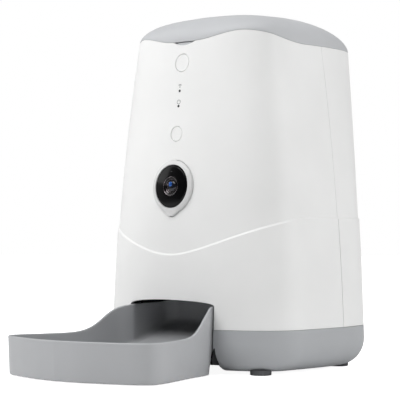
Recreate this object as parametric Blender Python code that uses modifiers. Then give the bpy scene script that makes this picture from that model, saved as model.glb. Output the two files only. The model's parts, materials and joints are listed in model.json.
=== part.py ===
"""Automatic pet feeder with a camera: casing, lid, hopper, portioning drive, bowl and electronics.

Metres, +Z up, front towards -Y, standing on its feet at z = 0. The casing is symmetric about x = 0.
"""

import math

import bmesh
import bpy
import numpy as np
from mathutils import Matrix, Vector

# ---------------------------------------------------------------- driving dimensions
HEIGHT = 0.310  # floor to the top of the lid
AXIS_Y = 0.0239  # the casing's widest line, so that the whole object is centred on y = 0
GAP = 0.0005  # clearance between neighbouring pieces

# Casing plan: two half superellipses that share the widest line. Each reach is a quadratic in z / HEIGHT.
HALF_WIDTH = (0.1031, -0.0066, -0.0229)
FRONT_REACH = (0.0522, -0.0016, -0.0226)
REAR_REACH = (0.1302, -0.0072, 0.0145)
FRONT_POWER = 2.23
REAR_POWER = 4.0
WALL = 0.0025
SEAM_Y = AXIS_Y + 0.061  # the front and rear shells meet on this plane
PIVOT_Y = AXIS_Y + 0.040  # directions round the casing are measured about this line
SEAM_DIRECTION = math.radians(105.0)

BASE_BOTTOM = 0.0030
BASE_SEAM = 0.0378  # grey base below, white shells above
BASE_EDGE_RISE = 0.024
BASE_EDGE_INSET = 0.019
STEP_OUT = 0.0010  # the lower casing stands this proud below the wave step
STEP_RISE = 0.0024

RIM_FRONT = 0.2842  # height of the casing's upper edge at the front, the crest and behind
RIM_CREST = 0.2909
RIM_REAR = 0.2818
RIM_LEVEL = 7.0  # degrees either side of the front that stay low
RIM_CREST_AT = 44.0  # degrees from the front to each crest
RIM_EASE = 1.2
NOTCH_HALF_WIDTH = 0.0125  # finger notch under the lid's front lip
NOTCH_DEPTH = 0.0030
WAVE_FRONT = 0.1005  # height of the wave step at the front and behind
WAVE_REAR = 0.1318

LID_POLE = (0.0, AXIS_Y + 0.046)  # the lid's dome falls away from here
DOME_FULLNESS = 3.6
DOME_POWER = 0.58
DOME_EVENNESS = 2.0  # how fast the corners die out towards the pole
LID_WALL = 0.0022

# Bowl bay
BAY_HALF_WIDTH = 0.0486
BAY_SIDE_TOP = 0.0576
BAY_ARCH_TOP = 0.0620
BAY_BACK = AXIS_Y + 0.0050
LINER_BOTTOM = 0.0088

# Bowl
BOWL_BOTTOM = 0.0010
BOWL_RIM = 0.0335
BOWL_NECK_RIM = 0.0580
NECK_RISE_Y = -0.0723  # where the rim is halfway up to the neck, from the widest line
NECK_RISE_LENGTH = 0.0077
NECK_CROWN = 0.0028  # the neck's back wall arches this much higher in the middle
NECK_UNDERCUT = (-0.0575, -0.0465)  # the neck's underside slants up between these, from the widest line
BOWL_FLOOR = 0.0045
BOWL_WALL = 0.0024
RAMP_TOP = 0.0410
RAMP_SLOPE = 0.36
BOWL_BACK = AXIS_Y + 0.0030
# Right half of the bowl's rim in plan, from the back corner forwards: (x, y from the widest line)
BOWL_PLAN = [
    (0.0474, -0.0400),
    (0.0474, -0.0462),
    (0.0484, -0.0490),
    (0.0506, -0.0528),
    (0.0552, -0.0600),
    (0.0589, -0.0700),
    (0.0630, -0.0840),
    (0.0692, -0.1020),
    (0.0763, -0.1210),
    (0.0818, -0.1370),
    (0.0845, -0.1490),
    (0.0828, -0.1585),
    (0.0745, -0.1655),
    (0.0600, -0.1712),
    (0.0420, -0.1768),
    (0.0215, -0.1816),
    (0.0, -0.1835),
]

# Front-panel pieces, by height on the front centre line
FEED_BUTTON_Z = 0.2658
NETWORK_LIGHT_Z = 0.2413
POWER_LIGHT_Z = 0.2281
PAIR_BUTTON_Z = 0.2041
CAMERA_Z = 0.1587
FEED_BUTTON_RADIUS = 0.0080
PAIR_BUTTON_RADIUS = 0.0067
LIGHT_RADIUS = 0.0011
CAMERA_RADIUS = 0.0184
BEZEL_RADIUS = 0.0227
BEZEL_TIP = 0.0258
LENS_RADIUS = 0.0088

# Hopper
HOPPER_TOP = 0.2720
HOPPER_KNEE = 0.1650  # its walls funnel to the rotor chamber below this height
LID_PLUG_LOW = 0.2635  # the lid's liner plugs this far down into the hopper
LID_FLANGE_LOW = 0.2748
LID_FLANGE_TOP = 0.2768

# Portioning drive
ROTOR_Y = AXIS_Y + 0.034
ROTOR_RADIUS = 0.0455
CHAMBER_RADIUS = 0.0476
CHAMBER_WALL = 0.0024
CHAMBER_FLOOR = 0.1080
CHAMBER_TOP = 0.1330
GEAR_TEETH = 40
PINION_TEETH = 10
MODULE = 0.001
GEAR_SPACING = MODULE * (GEAR_TEETH + PINION_TEETH) / 2 + 0.0003
GEAR_Z = 0.0905
GEAR_THICK = 0.005
DECK_Z = 0.1040
DECK_THICK = 0.003

# Battery compartment under the base
BATTERY_Y = AXIS_Y + 0.066
CELL_RADIUS = 0.0130
CELL_LENGTH = 0.050
CELL_PITCH = 0.027
BATTERY_HALF = CELL_PITCH + CELL_RADIUS + 0.0010  # half the tray's inner width, then half its inner depth
BATTERY_REACH = CELL_LENGTH / 2 + 0.0025

FRONT_FOOT = (0.0763, AXIS_Y - 0.0193)
REAR_FOOT = (0.0618, AXIS_Y + 0.1045)
FOOT_RADIUS = 0.0090
FOOT_TOP = 0.0046
PILLARS = ((0.066, AXIS_Y - 0.002), (0.072, AXIS_Y + 0.078))

# ---------------------------------------------------------------- scene
for old in list(bpy.data.objects):
    bpy.data.objects.remove(old, do_unlink=True)


def new_collection(name):
    found = bpy.data.collections.new(name)
    bpy.context.scene.collection.children.link(found)
    return found


PARTS = new_collection("pet_feeder")
CUTTERS = new_collection("cutters")


def material(name, colour, roughness, metallic=0.0):
    made = bpy.data.materials.new(name)
    made.use_nodes = True
    shader = made.node_tree.nodes["Principled BSDF"]
    shader.inputs["Base Color"].default_value = (*colour, 1.0)
    shader.inputs["Roughness"].default_value = roughness
    shader.inputs["Metallic"].default_value = metallic
    return made


WHITE = material("white_shell", (0.86, 0.87, 0.88), 0.38)
GREY = material("grey_shell", (0.42, 0.43, 0.46), 0.42)
LID_GREY = material("lid_grey", (0.52, 0.53, 0.56), 0.42)
BOWL_GREY = material("bowl_grey", (0.40, 0.41, 0.43), 0.45)
BLACK = material("black_plastic", (0.015, 0.015, 0.017), 0.45)
CLEAR = material("hopper_plastic", (0.55, 0.57, 0.60), 0.30)
GLOSS = material("black_gloss", (0.004, 0.004, 0.005), 0.05)
LENS = material("lens_glass", (0.01, 0.02, 0.06), 0.02)
BOARD = material("circuit_board", (0.02, 0.16, 0.07), 0.45)
METAL = material("bright_metal", (0.62, 0.62, 0.64), 0.30, 1.0)
RUBBER = material("rubber", (0.16, 0.16, 0.17), 0.80)
SILICONE = material("silicone", (0.70, 0.72, 0.74), 0.60)
CELL = material("battery_wrap", (0.10, 0.11, 0.13), 0.35)
GEAR = material("gear_plastic", (0.80, 0.79, 0.74), 0.40)


# ---------------------------------------------------------------- modelling helpers
def add_object(name, data, finish):
    made = bpy.data.objects.new(name, data)
    PARTS.objects.link(made)
    if finish:
        data.materials.append(finish)
    return made


def as_cutter(obj):
    for holder in list(obj.users_collection):
        holder.objects.unlink(obj)
    CUTTERS.objects.link(obj)
    obj.hide_render = True
    obj.display_type = "WIRE"
    return obj


def cut(obj, *cutters):
    for cutter in cutters:
        step = obj.modifiers.new("cut_" + cutter.name, "BOOLEAN")
        step.operation = "DIFFERENCE"
        step.solver = "EXACT"
        step.object = cutter


def from_bmesh(name, bm, finish, smooth=True):
    mesh = bpy.data.meshes.new(name)
    bm.to_mesh(mesh)
    bm.free()
    if smooth:
        mesh.shade_smooth()
        mesh.set_sharp_from_angle(angle=math.radians(35.0))
    return add_object(name, mesh, finish)


def block(name, low, high, finish, bevel=0.0):
    """A box between two corners, with an optional small bevel."""
    size = Vector(high) - Vector(low)
    bm = bmesh.new()
    bmesh.ops.create_cube(bm, size=1.0)
    bmesh.ops.scale(bm, vec=size, verts=bm.verts)
    obj = from_bmesh(name, bm, finish, smooth=False)
    obj.location = (Vector(low) + Vector(high)) / 2
    if bevel:
        step = obj.modifiers.new("edges", "BEVEL")
        step.width = bevel
        step.segments = 1
    return obj


def disc(name, radius, low, high, finish, segments=32):
    """A cylinder along local Z between two heights."""
    bm = bmesh.new()
    depth = high - low
    bmesh.ops.create_cone(bm, cap_ends=True, segments=segments, radius1=radius, radius2=radius, depth=depth)
    bmesh.ops.translate(bm, vec=(0, 0, (low + high) / 2), verts=bm.verts)
    return from_bmesh(name, bm, finish)


def turned(name, profile, finish, steps=32, closed=False):
    """A profile of (radius, height) points, run down its outer side, turned about local Z."""
    mesh = bpy.data.meshes.new(name)
    points = [(radius, 0.0, height) for radius, height in profile]
    edges = [(i, i + 1) for i in range(len(points) - 1)]
    if closed:
        edges.append((len(points) - 1, 0))
    mesh.from_pydata(points, edges, [])
    obj = add_object(name, mesh, finish)
    step = obj.modifiers.new("turn", "SCREW")
    step.steps = steps
    step.render_steps = steps
    step.use_merge_vertices = True
    step.merge_threshold = 0.00001
    step.use_smooth_shade = True
    return obj


def flat_outline(name, outlines, low, high, finish):
    """Closed outlines in local XY, the first outside and the rest holes, filled between two heights."""
    curve = bpy.data.curves.new(name, "CURVE")
    curve.dimensions = "2D"
    curve.fill_mode = "BOTH"
    curve.extrude = (high - low) / 2
    for outline in outlines:
        spline = curve.splines.new("POLY")
        spline.points.add(len(outline) - 1)
        spline.use_cyclic_u = True
        for point, (x, y) in zip(spline.points, outline):
            point.co = (x, y, 0.0, 1.0)
    obj = add_object(name, curve, finish)
    obj.location.z = (low + high) / 2
    return obj


def meshed(obj):
    """The evaluated curve as a welded mesh object of the same name, which a Boolean can cut."""
    bpy.context.view_layer.update()
    graph = bpy.context.evaluated_depsgraph_get()
    mesh = bpy.data.meshes.new_from_object(obj.evaluated_get(graph))
    bm = bmesh.new()
    bm.from_mesh(mesh)
    bmesh.ops.remove_doubles(bm, verts=bm.verts, dist=0.00001)
    bm.to_mesh(mesh)
    bm.free()
    name, place = obj.name, obj.matrix_world.copy()
    bpy.data.objects.remove(obj, do_unlink=True)
    made = bpy.data.objects.new(name, mesh)
    PARTS.objects.link(made)
    made.matrix_world = place
    return made


def lofted(name, rings, finish, closed=False, last_cap=True):
    """A solid through rings of equally many points. Ends are capped, or the last ring joins the first."""
    bm = bmesh.new()
    loops = [[bm.verts.new(point) for point in ring] for ring in rings]
    count = len(rings[0])
    pairs = list(zip(loops, loops[1:])) + ([(loops[-1], loops[0])] if closed else [])
    for one, two in pairs:
        for i in range(count):
            j = (i + 1) % count
            bm.faces.new((one[i], one[j], two[j], two[i]))
    if not closed:
        bm.faces.new(loops[0])
    if last_cap and not closed:
        bm.faces.new(loops[-1])
    bmesh.ops.remove_doubles(bm, verts=bm.verts, dist=0.00001)
    bmesh.ops.recalc_face_normals(bm, faces=bm.faces)
    return from_bmesh(name, bm, finish)


def skin(name, rows, finish, thickness, round_about=False, pole=None):
    """An open surface through rows of points, given a wall on its inner side."""
    bm = bmesh.new()
    lines = [[bm.verts.new(point) for point in row] for row in rows]
    count = len(rows[0])
    for low, high in zip(lines, lines[1:]):
        for i in range(count if round_about else count - 1):
            j = (i + 1) % count
            bm.faces.new((low[i], low[j], high[j], high[i]))
    if pole:
        top = bm.verts.new(pole)
        for i in range(count):
            bm.faces.new((lines[-1][i], lines[-1][(i + 1) % count], top))
    obj = from_bmesh(name, bm, finish)
    step = obj.modifiers.new("wall", "SOLIDIFY")
    step.thickness = thickness
    step.offset = -1.0
    return obj


def ring(centre, radius, z, angles):
    """A circle's points at the given directions, each angle measured from -Y towards +X."""
    return [(centre[0] + radius * math.sin(a), centre[1] - radius * math.cos(a), z) for a in angles]


# ---------------------------------------------------------------- casing form
def quadratic(terms, z):
    t = z / HEIGHT
    return terms[0] + terms[1] * t + terms[2] * t * t


def smooth(t):
    t = min(max(t, 0.0), 1.0)
    return t * t * (3 - 2 * t)


def section(z, side=0.0, front=None, rear=None):
    """Half width, front reach and rear reach at a height, each drawn in by its inset."""
    front = side if front is None else front
    rear = side if rear is None else rear
    return (
        quadratic(HALF_WIDTH, z) - side,
        quadratic(FRONT_REACH, z) - front,
        quadratic(REAR_REACH, z) - rear,
    )


def casing_point(z, direction, side=0.0, front=None, rear=None, height=None):
    """The point of the section in a direction about the pivot, 0 at the front and growing towards +X."""
    half, reach_front, reach_rear = section(z, side, front, rear)
    away = (math.sin(direction), -math.cos(direction))
    low, high = 0.0, 0.4
    for _ in range(30):
        middle = (low + high) / 2
        x = abs(away[0]) * middle
        y = PIVOT_Y - AXIS_Y + away[1] * middle
        reach, power = (reach_rear, REAR_POWER) if y > 0 else (reach_front, FRONT_POWER)
        inside = (x / half) ** power + (abs(y) / reach) ** power < 1
        low, high = (middle, high) if inside else (low, middle)
    return (away[0] * low, PIVOT_Y + away[1] * low, z if height is None else height)


def seam_point(z, sign, y, out=0.0):
    """The point where a shell's side edge lies on its seam plane."""
    half, _, reach = section(z, -out)
    x = half * (1 - ((y - AXIS_Y) / reach) ** REAR_POWER) ** (1 / REAR_POWER)
    return (sign * x, y, z)


def rim_height(direction):
    """Upper edge of the casing: low at the front, a crest at each front corner, level behind."""
    degrees = math.degrees(min(abs(direction), 2 * math.pi - abs(direction)))
    if degrees < RIM_CREST_AT:
        climb = max(degrees - RIM_LEVEL, 0.0) / (RIM_CREST_AT - RIM_LEVEL)
        return RIM_FRONT + (RIM_CREST - RIM_FRONT) * smooth(climb**RIM_EASE)
    return RIM_CREST - (RIM_CREST - RIM_REAR) * smooth((degrees / RIM_CREST_AT - 1.0) ** 0.85)


def wave_height(direction):
    """The wave step: a dip at the front that climbs to a level line along the sides and back."""
    degrees = math.degrees(min(abs(direction), 2 * math.pi - abs(direction)))
    return WAVE_FRONT + (WAVE_REAR - WAVE_FRONT) * smooth(degrees / 78.0)


def shell_rows(directions, point):
    """Rows from the base seam up over the wave step to the rim. point(z, direction, out) places one."""
    lower, upper = 3, 6
    low = BASE_SEAM + GAP
    rows = []
    for k in range(lower):
        share = k / (lower - 1)
        heights = [low + share * (wave_height(a) - STEP_RISE / 2 - low) for a in directions]
        rows.append([point(z, a, STEP_OUT) for z, a in zip(heights, directions)])
    for k in range(upper):
        share = (k / (upper - 1)) ** 1.1
        rows.append(
            [
                point((1 - share) * (wave_height(a) + STEP_RISE / 2) + share * rim_height(a), a, 0.0)
                for a in directions
            ]
        )
    return rows


def front_frame(z):
    """A frame on the front centre line: local Z out of the surface, local Y up along it."""
    t = z / HEIGHT
    slope = (FRONT_REACH[1] + 2 * FRONT_REACH[2] * t) / HEIGHT
    out = Vector((0, -1, -slope)).normalized()
    right = Vector((1, 0, 0))
    up = out.cross(right)
    frame = Matrix((right, up, out)).transposed().to_4x4()
    frame.translation = (0, AXIS_Y - quadratic(FRONT_REACH, z), z)
    return frame


def on_front(obj, z, across=0.0, along=0.0):
    obj.matrix_world = front_frame(z) @ Matrix.Translation((across, along, 0)) @ obj.matrix_basis
    return obj


# ---------------------------------------------------------------- cutters
def arch_outline(half, side_top, crown_top, bottom, steps=10):
    """The bay's front outline in XZ: straight sides under a flat arch."""
    rise = crown_top - side_top
    turns = [math.pi * k / steps for k in range(steps + 1)]
    crown = [(half * math.cos(a), side_top + rise * math.sin(a)) for a in turns]
    return [(-half, bottom), (half, bottom)] + crown


def bay_cutter(name, half, side_top, crown_top, back):
    front = AXIS_Y - 0.075
    outline = arch_outline(half, side_top, crown_top, -0.01)
    rings = [[(x, y, z) for x, z in outline] for y in (front, back)]
    return as_cutter(lofted(name, rings, None))


def rod_cutter(name, radius, x, y, low, high, segments=24):
    obj = disc(name, radius, low, high, None, segments)
    obj.location = (x, y, 0)
    return as_cutter(obj)


def teardrop(radius, tip, steps=40):
    """A circle whose lowest point is drawn down to a soft tip."""
    points = []
    for k in range(steps):
        a = 2 * math.pi * k / steps
        below = max(0.0, -math.cos(a))
        reach = radius + (tip - radius) * below**26
        points.append((reach * math.sin(a), reach * math.cos(a)))
    return points


def circle(radius, steps=36):
    return [
        (radius * math.cos(2 * math.pi * k / steps), radius * math.sin(2 * math.pi * k / steps))
        for k in range(steps)
    ]


# ---------------------------------------------------------------- casing
def make_front_shell():
    count = 33
    directions = [SEAM_DIRECTION * (2 * k / (count - 1) - 1) for k in range(count)]
    edge = SEAM_Y - GAP / 2

    def point(z, direction, out):
        if abs(direction) > SEAM_DIRECTION - 0.001:
            return seam_point(z, math.copysign(1, direction), edge, out)
        return casing_point(z, direction, -out)

    shell = skin("front_shell", shell_rows(directions, point), WHITE, WALL)
    bay = bay_cutter("bay_front_cutter", BAY_HALF_WIDTH, BAY_SIDE_TOP, BAY_ARCH_TOP, AXIS_Y - 0.030)
    holes = [
        (FEED_BUTTON_Z, FEED_BUTTON_RADIUS, 32),
        (PAIR_BUTTON_Z, PAIR_BUTTON_RADIUS, 32),
        (NETWORK_LIGHT_Z, LIGHT_RADIUS + 0.0003, 12),
        (POWER_LIGHT_Z, LIGHT_RADIUS + 0.0003, 12),
    ]
    drills = [
        as_cutter(on_front(disc(f"front_hole_cutter_{i}", radius, -0.006, 0.006, None, segments), z))
        for i, (z, radius, segments) in enumerate(holes)
    ]
    seat_outline = teardrop(BEZEL_RADIUS + GAP, BEZEL_TIP + GAP)
    seat = flat_outline("camera_seat_cutter", [seat_outline], -0.008, 0.008, None)
    seat = as_cutter(on_front(meshed(seat), CAMERA_Z))
    half_notch, depth = NOTCH_HALF_WIDTH, NOTCH_DEPTH
    scoop_radius = (half_notch**2 + depth**2) / (2 * depth)
    scoop = disc("finger_notch_cutter", scoop_radius, -0.012, 0.012, None, 72)
    scoop.rotation_euler = (math.pi / 2, 0, 0)
    scoop.location = (0, AXIS_Y - section(RIM_FRONT)[1], RIM_FRONT + scoop_radius - depth)
    cut(shell, bay, *drills, seat, as_cutter(scoop))
    return shell


def make_rear_shell():
    count = 21
    span = 2 * (math.pi - SEAM_DIRECTION)
    directions = [SEAM_DIRECTION + span * k / (count - 1) for k in range(count)]
    edge = SEAM_Y + GAP / 2

    def point(z, direction, out):
        if abs(direction - SEAM_DIRECTION) < 0.001:
            return seam_point(z, 1, edge, out)
        if abs(direction - SEAM_DIRECTION - span) < 0.001:
            return seam_point(z, -1, edge, out)
        return casing_point(z, direction, -out)

    shell = skin("rear_shell", shell_rows(directions, point), WHITE, WALL)
    inlet = disc("inlet_cutter", 0.0060, -0.010, 0.010, None, 24)
    inlet.rotation_euler = (math.pi / 2, 0, 0)
    inlet.location = (0, AXIS_Y + section(0.052)[2], 0.052)
    cut(shell, as_cutter(inlet))


def base_inset(z):
    """How far the base's rounded lower edge draws in at a height."""
    drop = min(max((BASE_BOTTOM + BASE_EDGE_RISE - z) / BASE_EDGE_RISE, 0.0), 1.0)
    return BASE_EDGE_INSET * (1 - math.sqrt(1 - drop * drop))


def make_base_shell():
    count = 40
    directions = [2 * math.pi * k / count for k in range(count)]
    bottom_row = [casing_point(BASE_BOTTOM, a, BASE_EDGE_INSET + 0.022) for a in directions]
    rows = [bottom_row]
    for lift in (0, 20, 42, 66, 90):
        z = BASE_BOTTOM + BASE_EDGE_RISE * (1 - math.cos(math.radians(lift)))
        rows.append([casing_point(z, a, base_inset(z) - STEP_OUT) for a in directions])
    rows.append([casing_point(BASE_SEAM - GAP / 2, a, -STEP_OUT) for a in directions])
    rows.reverse()
    for row in rows:
        row.reverse()
    base = skin("base_shell", rows, GREY, WALL, round_about=True, pole=(0, AXIS_Y + 0.04, BASE_BOTTOM))
    bay = bay_cutter("bay_base_cutter", BAY_HALF_WIDTH, BAY_SIDE_TOP, BAY_ARCH_TOP, BAY_BACK + 0.0008)
    hatch = as_cutter(
        block(
            "battery_hatch_cutter",
            (-BATTERY_HALF, BATTERY_Y - BATTERY_REACH, -0.001),
            (BATTERY_HALF, BATTERY_Y + BATTERY_REACH, 0.008),
            None,
        )
    )
    feet = [
        rod_cutter(f"foot_recess_cutter_{i}", FOOT_RADIUS + GAP, x, y, -0.001, FOOT_TOP + 0.0004, 32)
        for i, (x, y) in enumerate(foot_places())
    ]
    screws = [
        rod_cutter(f"screw_hole_cutter_{i}", 0.0034, x, y, -0.001, 0.009, 16)
        for i, (x, y) in enumerate(pillar_places())
    ]
    grille = [
        rod_cutter(
            f"speaker_hole_cutter_{i}",
            0.0013,
            0.006 * (i > 0) * math.cos(math.radians(60 * i)),
            AXIS_Y + 0.0215 + 0.006 * (i > 0) * math.sin(math.radians(60 * i)),
            -0.001,
            0.009,
            8,
        )
        for i in range(7)
    ]
    cut(base, bay, hatch, *feet, *screws, *grille)


def foot_places():
    return [(sign * x, y) for x, y in (FRONT_FOOT, REAR_FOOT) for sign in (-1, 1)]


def pillar_places():
    return [(sign * x, y) for x, y in PILLARS for sign in (-1, 1)]


def make_feet_and_pillars():
    names = ("front_left", "front_right", "rear_left", "rear_right")
    for name, (x, y) in zip(names, foot_places()):
        foot = turned(
            f"foot_{name}",
            [
                (0, FOOT_TOP),
                (FOOT_RADIUS, FOOT_TOP),
                (FOOT_RADIUS, 0.0007),
                (FOOT_RADIUS - 0.0007, 0),
                (0, 0),
            ],
            RUBBER,
            steps=28,
        )
        foot.location = (x, y, 0)
    low, high = BASE_BOTTOM + WALL + GAP, DECK_Z - GAP
    for name, (x, y) in zip(names, pillar_places()):
        pillar = turned(
            f"pillar_{name}",
            [(0.0040, high), (0.0040, low), (0.0018, low), (0.0018, high)],
            BLACK,
            steps=16,
            closed=True,
        )
        pillar.location = (x, y, 0)
        screw = turned(
            f"base_screw_{name}",
            [
                (0, 0.018),
                (0.0014, 0.018),
                (0.0014, 0.0052),
                (0.0029, 0.0052),
                (0.0029, 0.0033),
                (0, 0.0033),
            ],
            METAL,
            steps=16,
        )
        screw.location = (x, y, 0)


# ---------------------------------------------------------------- bowl and bay
def make_bay_liner():
    inner_top = BAY_ARCH_TOP + 0.0014
    wall = 0.0014
    half = BAY_HALF_WIDTH
    liner = block(
        "bay_liner",
        (-half - wall, AXIS_Y - 0.0335, LINER_BOTTOM),
        (half + wall, BAY_BACK + wall, inner_top + wall),
        BLACK,
    )
    hollow = block("liner_hollow_cutter", (-half, AXIS_Y - 0.06, 0.0), (half, BAY_BACK, inner_top), None)
    x, front, back = 0.0168, AXIS_Y - 0.0330, AXIS_Y - 0.0070
    hole = block("liner_hole_cutter", (-x, front, inner_top - 0.005), (x, back, inner_top + 0.005), None)
    cut(liner, as_cutter(hollow), as_cutter(hole))


def make_chute():
    top_z, low_z = CHAMBER_FLOOR - GAP, BAY_ARCH_TOP + 0.0018

    def corners(half, front, back, z):
        return [(-half, front, z), (half, front, z), (half, back, z), (-half, back, z)]

    wall = 0.0016
    top = (0.0160, AXIS_Y - 0.0150, AXIS_Y + 0.0040)
    low = (0.0160, AXIS_Y - 0.0320, AXIS_Y - 0.0080)
    rings = [
        corners(*top, top_z),
        corners(*low, low_z),
        corners(low[0] - wall, low[1] + wall, low[2] - wall, low_z),
        corners(top[0] - wall, top[1] + wall, top[2] - wall, top_z),
    ]
    lofted("chute", rings, BLACK, closed=True)


def bowl_rim_height(x, y):
    """High in the neck, falling in an S to the level rim round the bowl."""
    rise = 1 / (1 + math.exp((NECK_RISE_Y + AXIS_Y - y) / NECK_RISE_LENGTH))
    arch = NECK_CROWN * math.sqrt(max(0.0, 1 - (x / BOWL_PLAN[0][0]) ** 2))
    return BOWL_RIM + (BOWL_NECK_RIM - BOWL_RIM) * rise + arch * smooth((y - BOWL_BACK + 0.020) / 0.012)


def bowl_floor_height(_, y):
    ramp = RAMP_TOP + RAMP_SLOPE * (y - BOWL_BACK)
    sharpness = 0.004
    return BOWL_FLOOR + sharpness * math.log1p(math.exp((ramp - BOWL_FLOOR) / sharpness))


def catmull(points, per_span):
    """A smooth line through points, with the same number of steps in each span."""
    padded = [points[0]] + points + [points[-1]]
    line = []
    for k in range(len(points) - 1):
        p0, p1, p2, p3 = (np.array(padded[k + i]) for i in range(4))
        for step in range(per_span):
            t = step / per_span
            bend = (2 * p0 - 5 * p1 + 4 * p2 - p3) * t**2
            twist = (3 * p1 - p0 - 3 * p2 + p3) * t**3
            line.append(0.5 * (2 * p1 + (p2 - p0) * t + bend + twist))
    line.append(np.array(points[-1]))
    return line


def bowl_half_plan():
    back = BOWL_BACK - AXIS_Y
    corner, crown = 0.015, 0.0010
    half = BOWL_PLAN[0][0]
    rounded = [
        (
            half - corner + corner * math.sin(math.radians(a)),
            back - crown - corner + corner * math.cos(math.radians(a)),
        )
        for a in (0, 30, 60, 90)
    ]
    back_edge = [(0.0, back), (half / 2, back - crown / 4)]
    return [np.array(p) for p in back_edge + rounded + [(half, -0.018)]] + catmull(BOWL_PLAN, 2)


def bowl_ring(plan, inset, height, shift=0.0):
    """Both halves of the plan drawn in by an inset, at a height given as a function of x and y."""
    ring_points = []
    full = plan + [np.array((-x, y)) for x, y in plan[-2:0:-1]]
    count = len(full)
    for i, (x, y) in enumerate(full):
        tangent = full[(i + 1) % count] - full[i - 1]
        inward = np.array((tangent[1], -tangent[0])) / np.linalg.norm(tangent)
        px, py = np.array((x, y)) + inward * inset
        ring_points.append((px, py + AXIS_Y, height(px, py + AXIS_Y) + shift))
    return ring_points


def bowl_spine(plan, share, height):
    """The plan drawn towards the middle line, down which the floor's two halves meet."""
    full = plan + [np.array((-x, y)) for x, y in plan[-2:0:-1]]
    inner = 0.011
    low, high = -0.105, BOWL_BACK - AXIS_Y - 0.020
    points = []
    count = len(full)
    for i, (x, y) in enumerate(full):
        tangent = full[(i + 1) % count] - full[i - 1]
        inward = np.array((tangent[1], -tangent[0])) / np.linalg.norm(tangent)
        start = np.array((x, y)) + inward * inner
        end = np.array((0.0, min(max(y, low), high)))
        px, py = start + (end - start) * share
        points.append((px, py + AXIS_Y, height(px, py + AXIS_Y)))
    return points


def make_bowl():
    plan = bowl_half_plan()

    def flat_bottom(_x, _y):
        return BOWL_BOTTOM

    draft = 0.0012
    inner_draft = BOWL_WALL + 0.55 * draft
    rings = [
        bowl_ring(plan, draft + 0.0015, flat_bottom),
        bowl_ring(plan, draft, flat_bottom, 0.0015),
        bowl_ring(plan, 0.0, bowl_rim_height, -0.0008),
        bowl_ring(plan, 0.0006, bowl_rim_height),
        bowl_ring(plan, BOWL_WALL - 0.0004, bowl_rim_height),
        bowl_ring(plan, BOWL_WALL, bowl_rim_height, -0.0008),
        bowl_ring(plan, inner_draft, bowl_floor_height, 0.0070),
        bowl_ring(plan, inner_draft + 0.0018, bowl_floor_height, 0.0022),
        bowl_spine(plan, 0.0, bowl_floor_height),
        bowl_spine(plan, 0.5, bowl_floor_height),
        bowl_spine(plan, 1.0, bowl_floor_height),
    ]
    bowl = lofted("bowl", rings, BOWL_GREY, last_cap=False)

    def prism(name, half, profile):
        return as_cutter(lofted(name, [[(s * half, y, z) for y, z in profile] for s in (-1, 1)], None))

    under, below, behind = 0.0028, -0.001, BOWL_BACK + 0.005
    low_y, high_y = (AXIS_Y + y for y in NECK_UNDERCUT)
    neck = [
        (behind, below),
        (low_y, below),
        (low_y, BOWL_BOTTOM),
        (high_y, bowl_floor_height(0, high_y) - under),
        (behind, bowl_floor_height(0, behind) - under),
    ]
    front, back = BOWL_BACK - 0.080, high_y - 0.001
    pocket = [
        (front, below),
        (back, below),
        (back, bowl_floor_height(0, back) - under - 0.0004),
        (front, bowl_floor_height(0, front) - under - 0.0004),
    ]
    cut(bowl, prism("neck_cutter", 0.060, neck), prism("bowl_pocket_cutter", 0.0375, pocket))


# ---------------------------------------------------------------- lid
def make_lid_shell():
    count = 52
    directions = [2 * math.pi * k / count for k in range(count)]
    edge = [casing_point(rim_height(a) + GAP, a) for a in directions]
    reaches = [math.dist((x, y), LID_POLE) for x, y, _ in edge]
    mean_reach = sum(reaches) / count
    rows = []
    for lift in (90, 87.5, 80, 68, 55, 40, 21):
        share = math.sin(math.radians(lift))
        rise = max(0.0, 1 - share**DOME_FULLNESS) ** DOME_POWER
        row = []
        for (x, y, z), reach in zip(edge, reaches):
            part = share * (1 + (mean_reach / reach - 1) * DOME_EVENNESS * (1 - share))
            across, along = part * (x - LID_POLE[0]), part * (y - LID_POLE[1])
            row.append((LID_POLE[0] + across, LID_POLE[1] + along, z + (HEIGHT - z) * rise))
        rows.append(row)
    return skin("lid_shell", rows, LID_GREY, LID_WALL, round_about=True, pole=(*LID_POLE, HEIGHT))


def casing_ring(z, side, front, rear, count=36):
    return [casing_point(z, 2 * math.pi * k / count, side, front, rear) for k in range(count)]


def make_lid_fittings():
    plug_low, flange_low, flange_top = LID_PLUG_LOW, LID_FLANGE_LOW, LID_FLANGE_TOP
    lofted(
        "lid_liner",
        [
            casing_ring(plug_low, 0.0118, 0.0158, 0.0118),
            casing_ring(flange_low, 0.0100, 0.0140, 0.0100),
            casing_ring(flange_low, 0.0064, 0.0064, 0.0064),
            casing_ring(flange_top, 0.0064, 0.0064, 0.0064),
            casing_ring(flange_top, 0.0120, 0.0160, 0.0120),
            casing_ring(plug_low + 0.002, 0.0138, 0.0178, 0.0138),
        ],
        CLEAR,
    )
    low, high = 0.2724, 0.2745
    lofted(
        "lid_seal",
        [
            casing_ring(low, 0.0068, 0.0068, 0.0068),
            casing_ring(high, 0.0068, 0.0068, 0.0068),
            casing_ring(high, 0.0080, 0.0080, 0.0080),
            casing_ring(low, 0.0080, 0.0080, 0.0080),
        ],
        SILICONE,
        closed=True,
    )
    block(
        "desiccant_box",
        (-0.030, AXIS_Y + 0.025, plug_low - 0.0110),
        (0.030, AXIS_Y + 0.065, plug_low - GAP),
        CLEAR,
        bevel=0.0015,
    )


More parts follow.
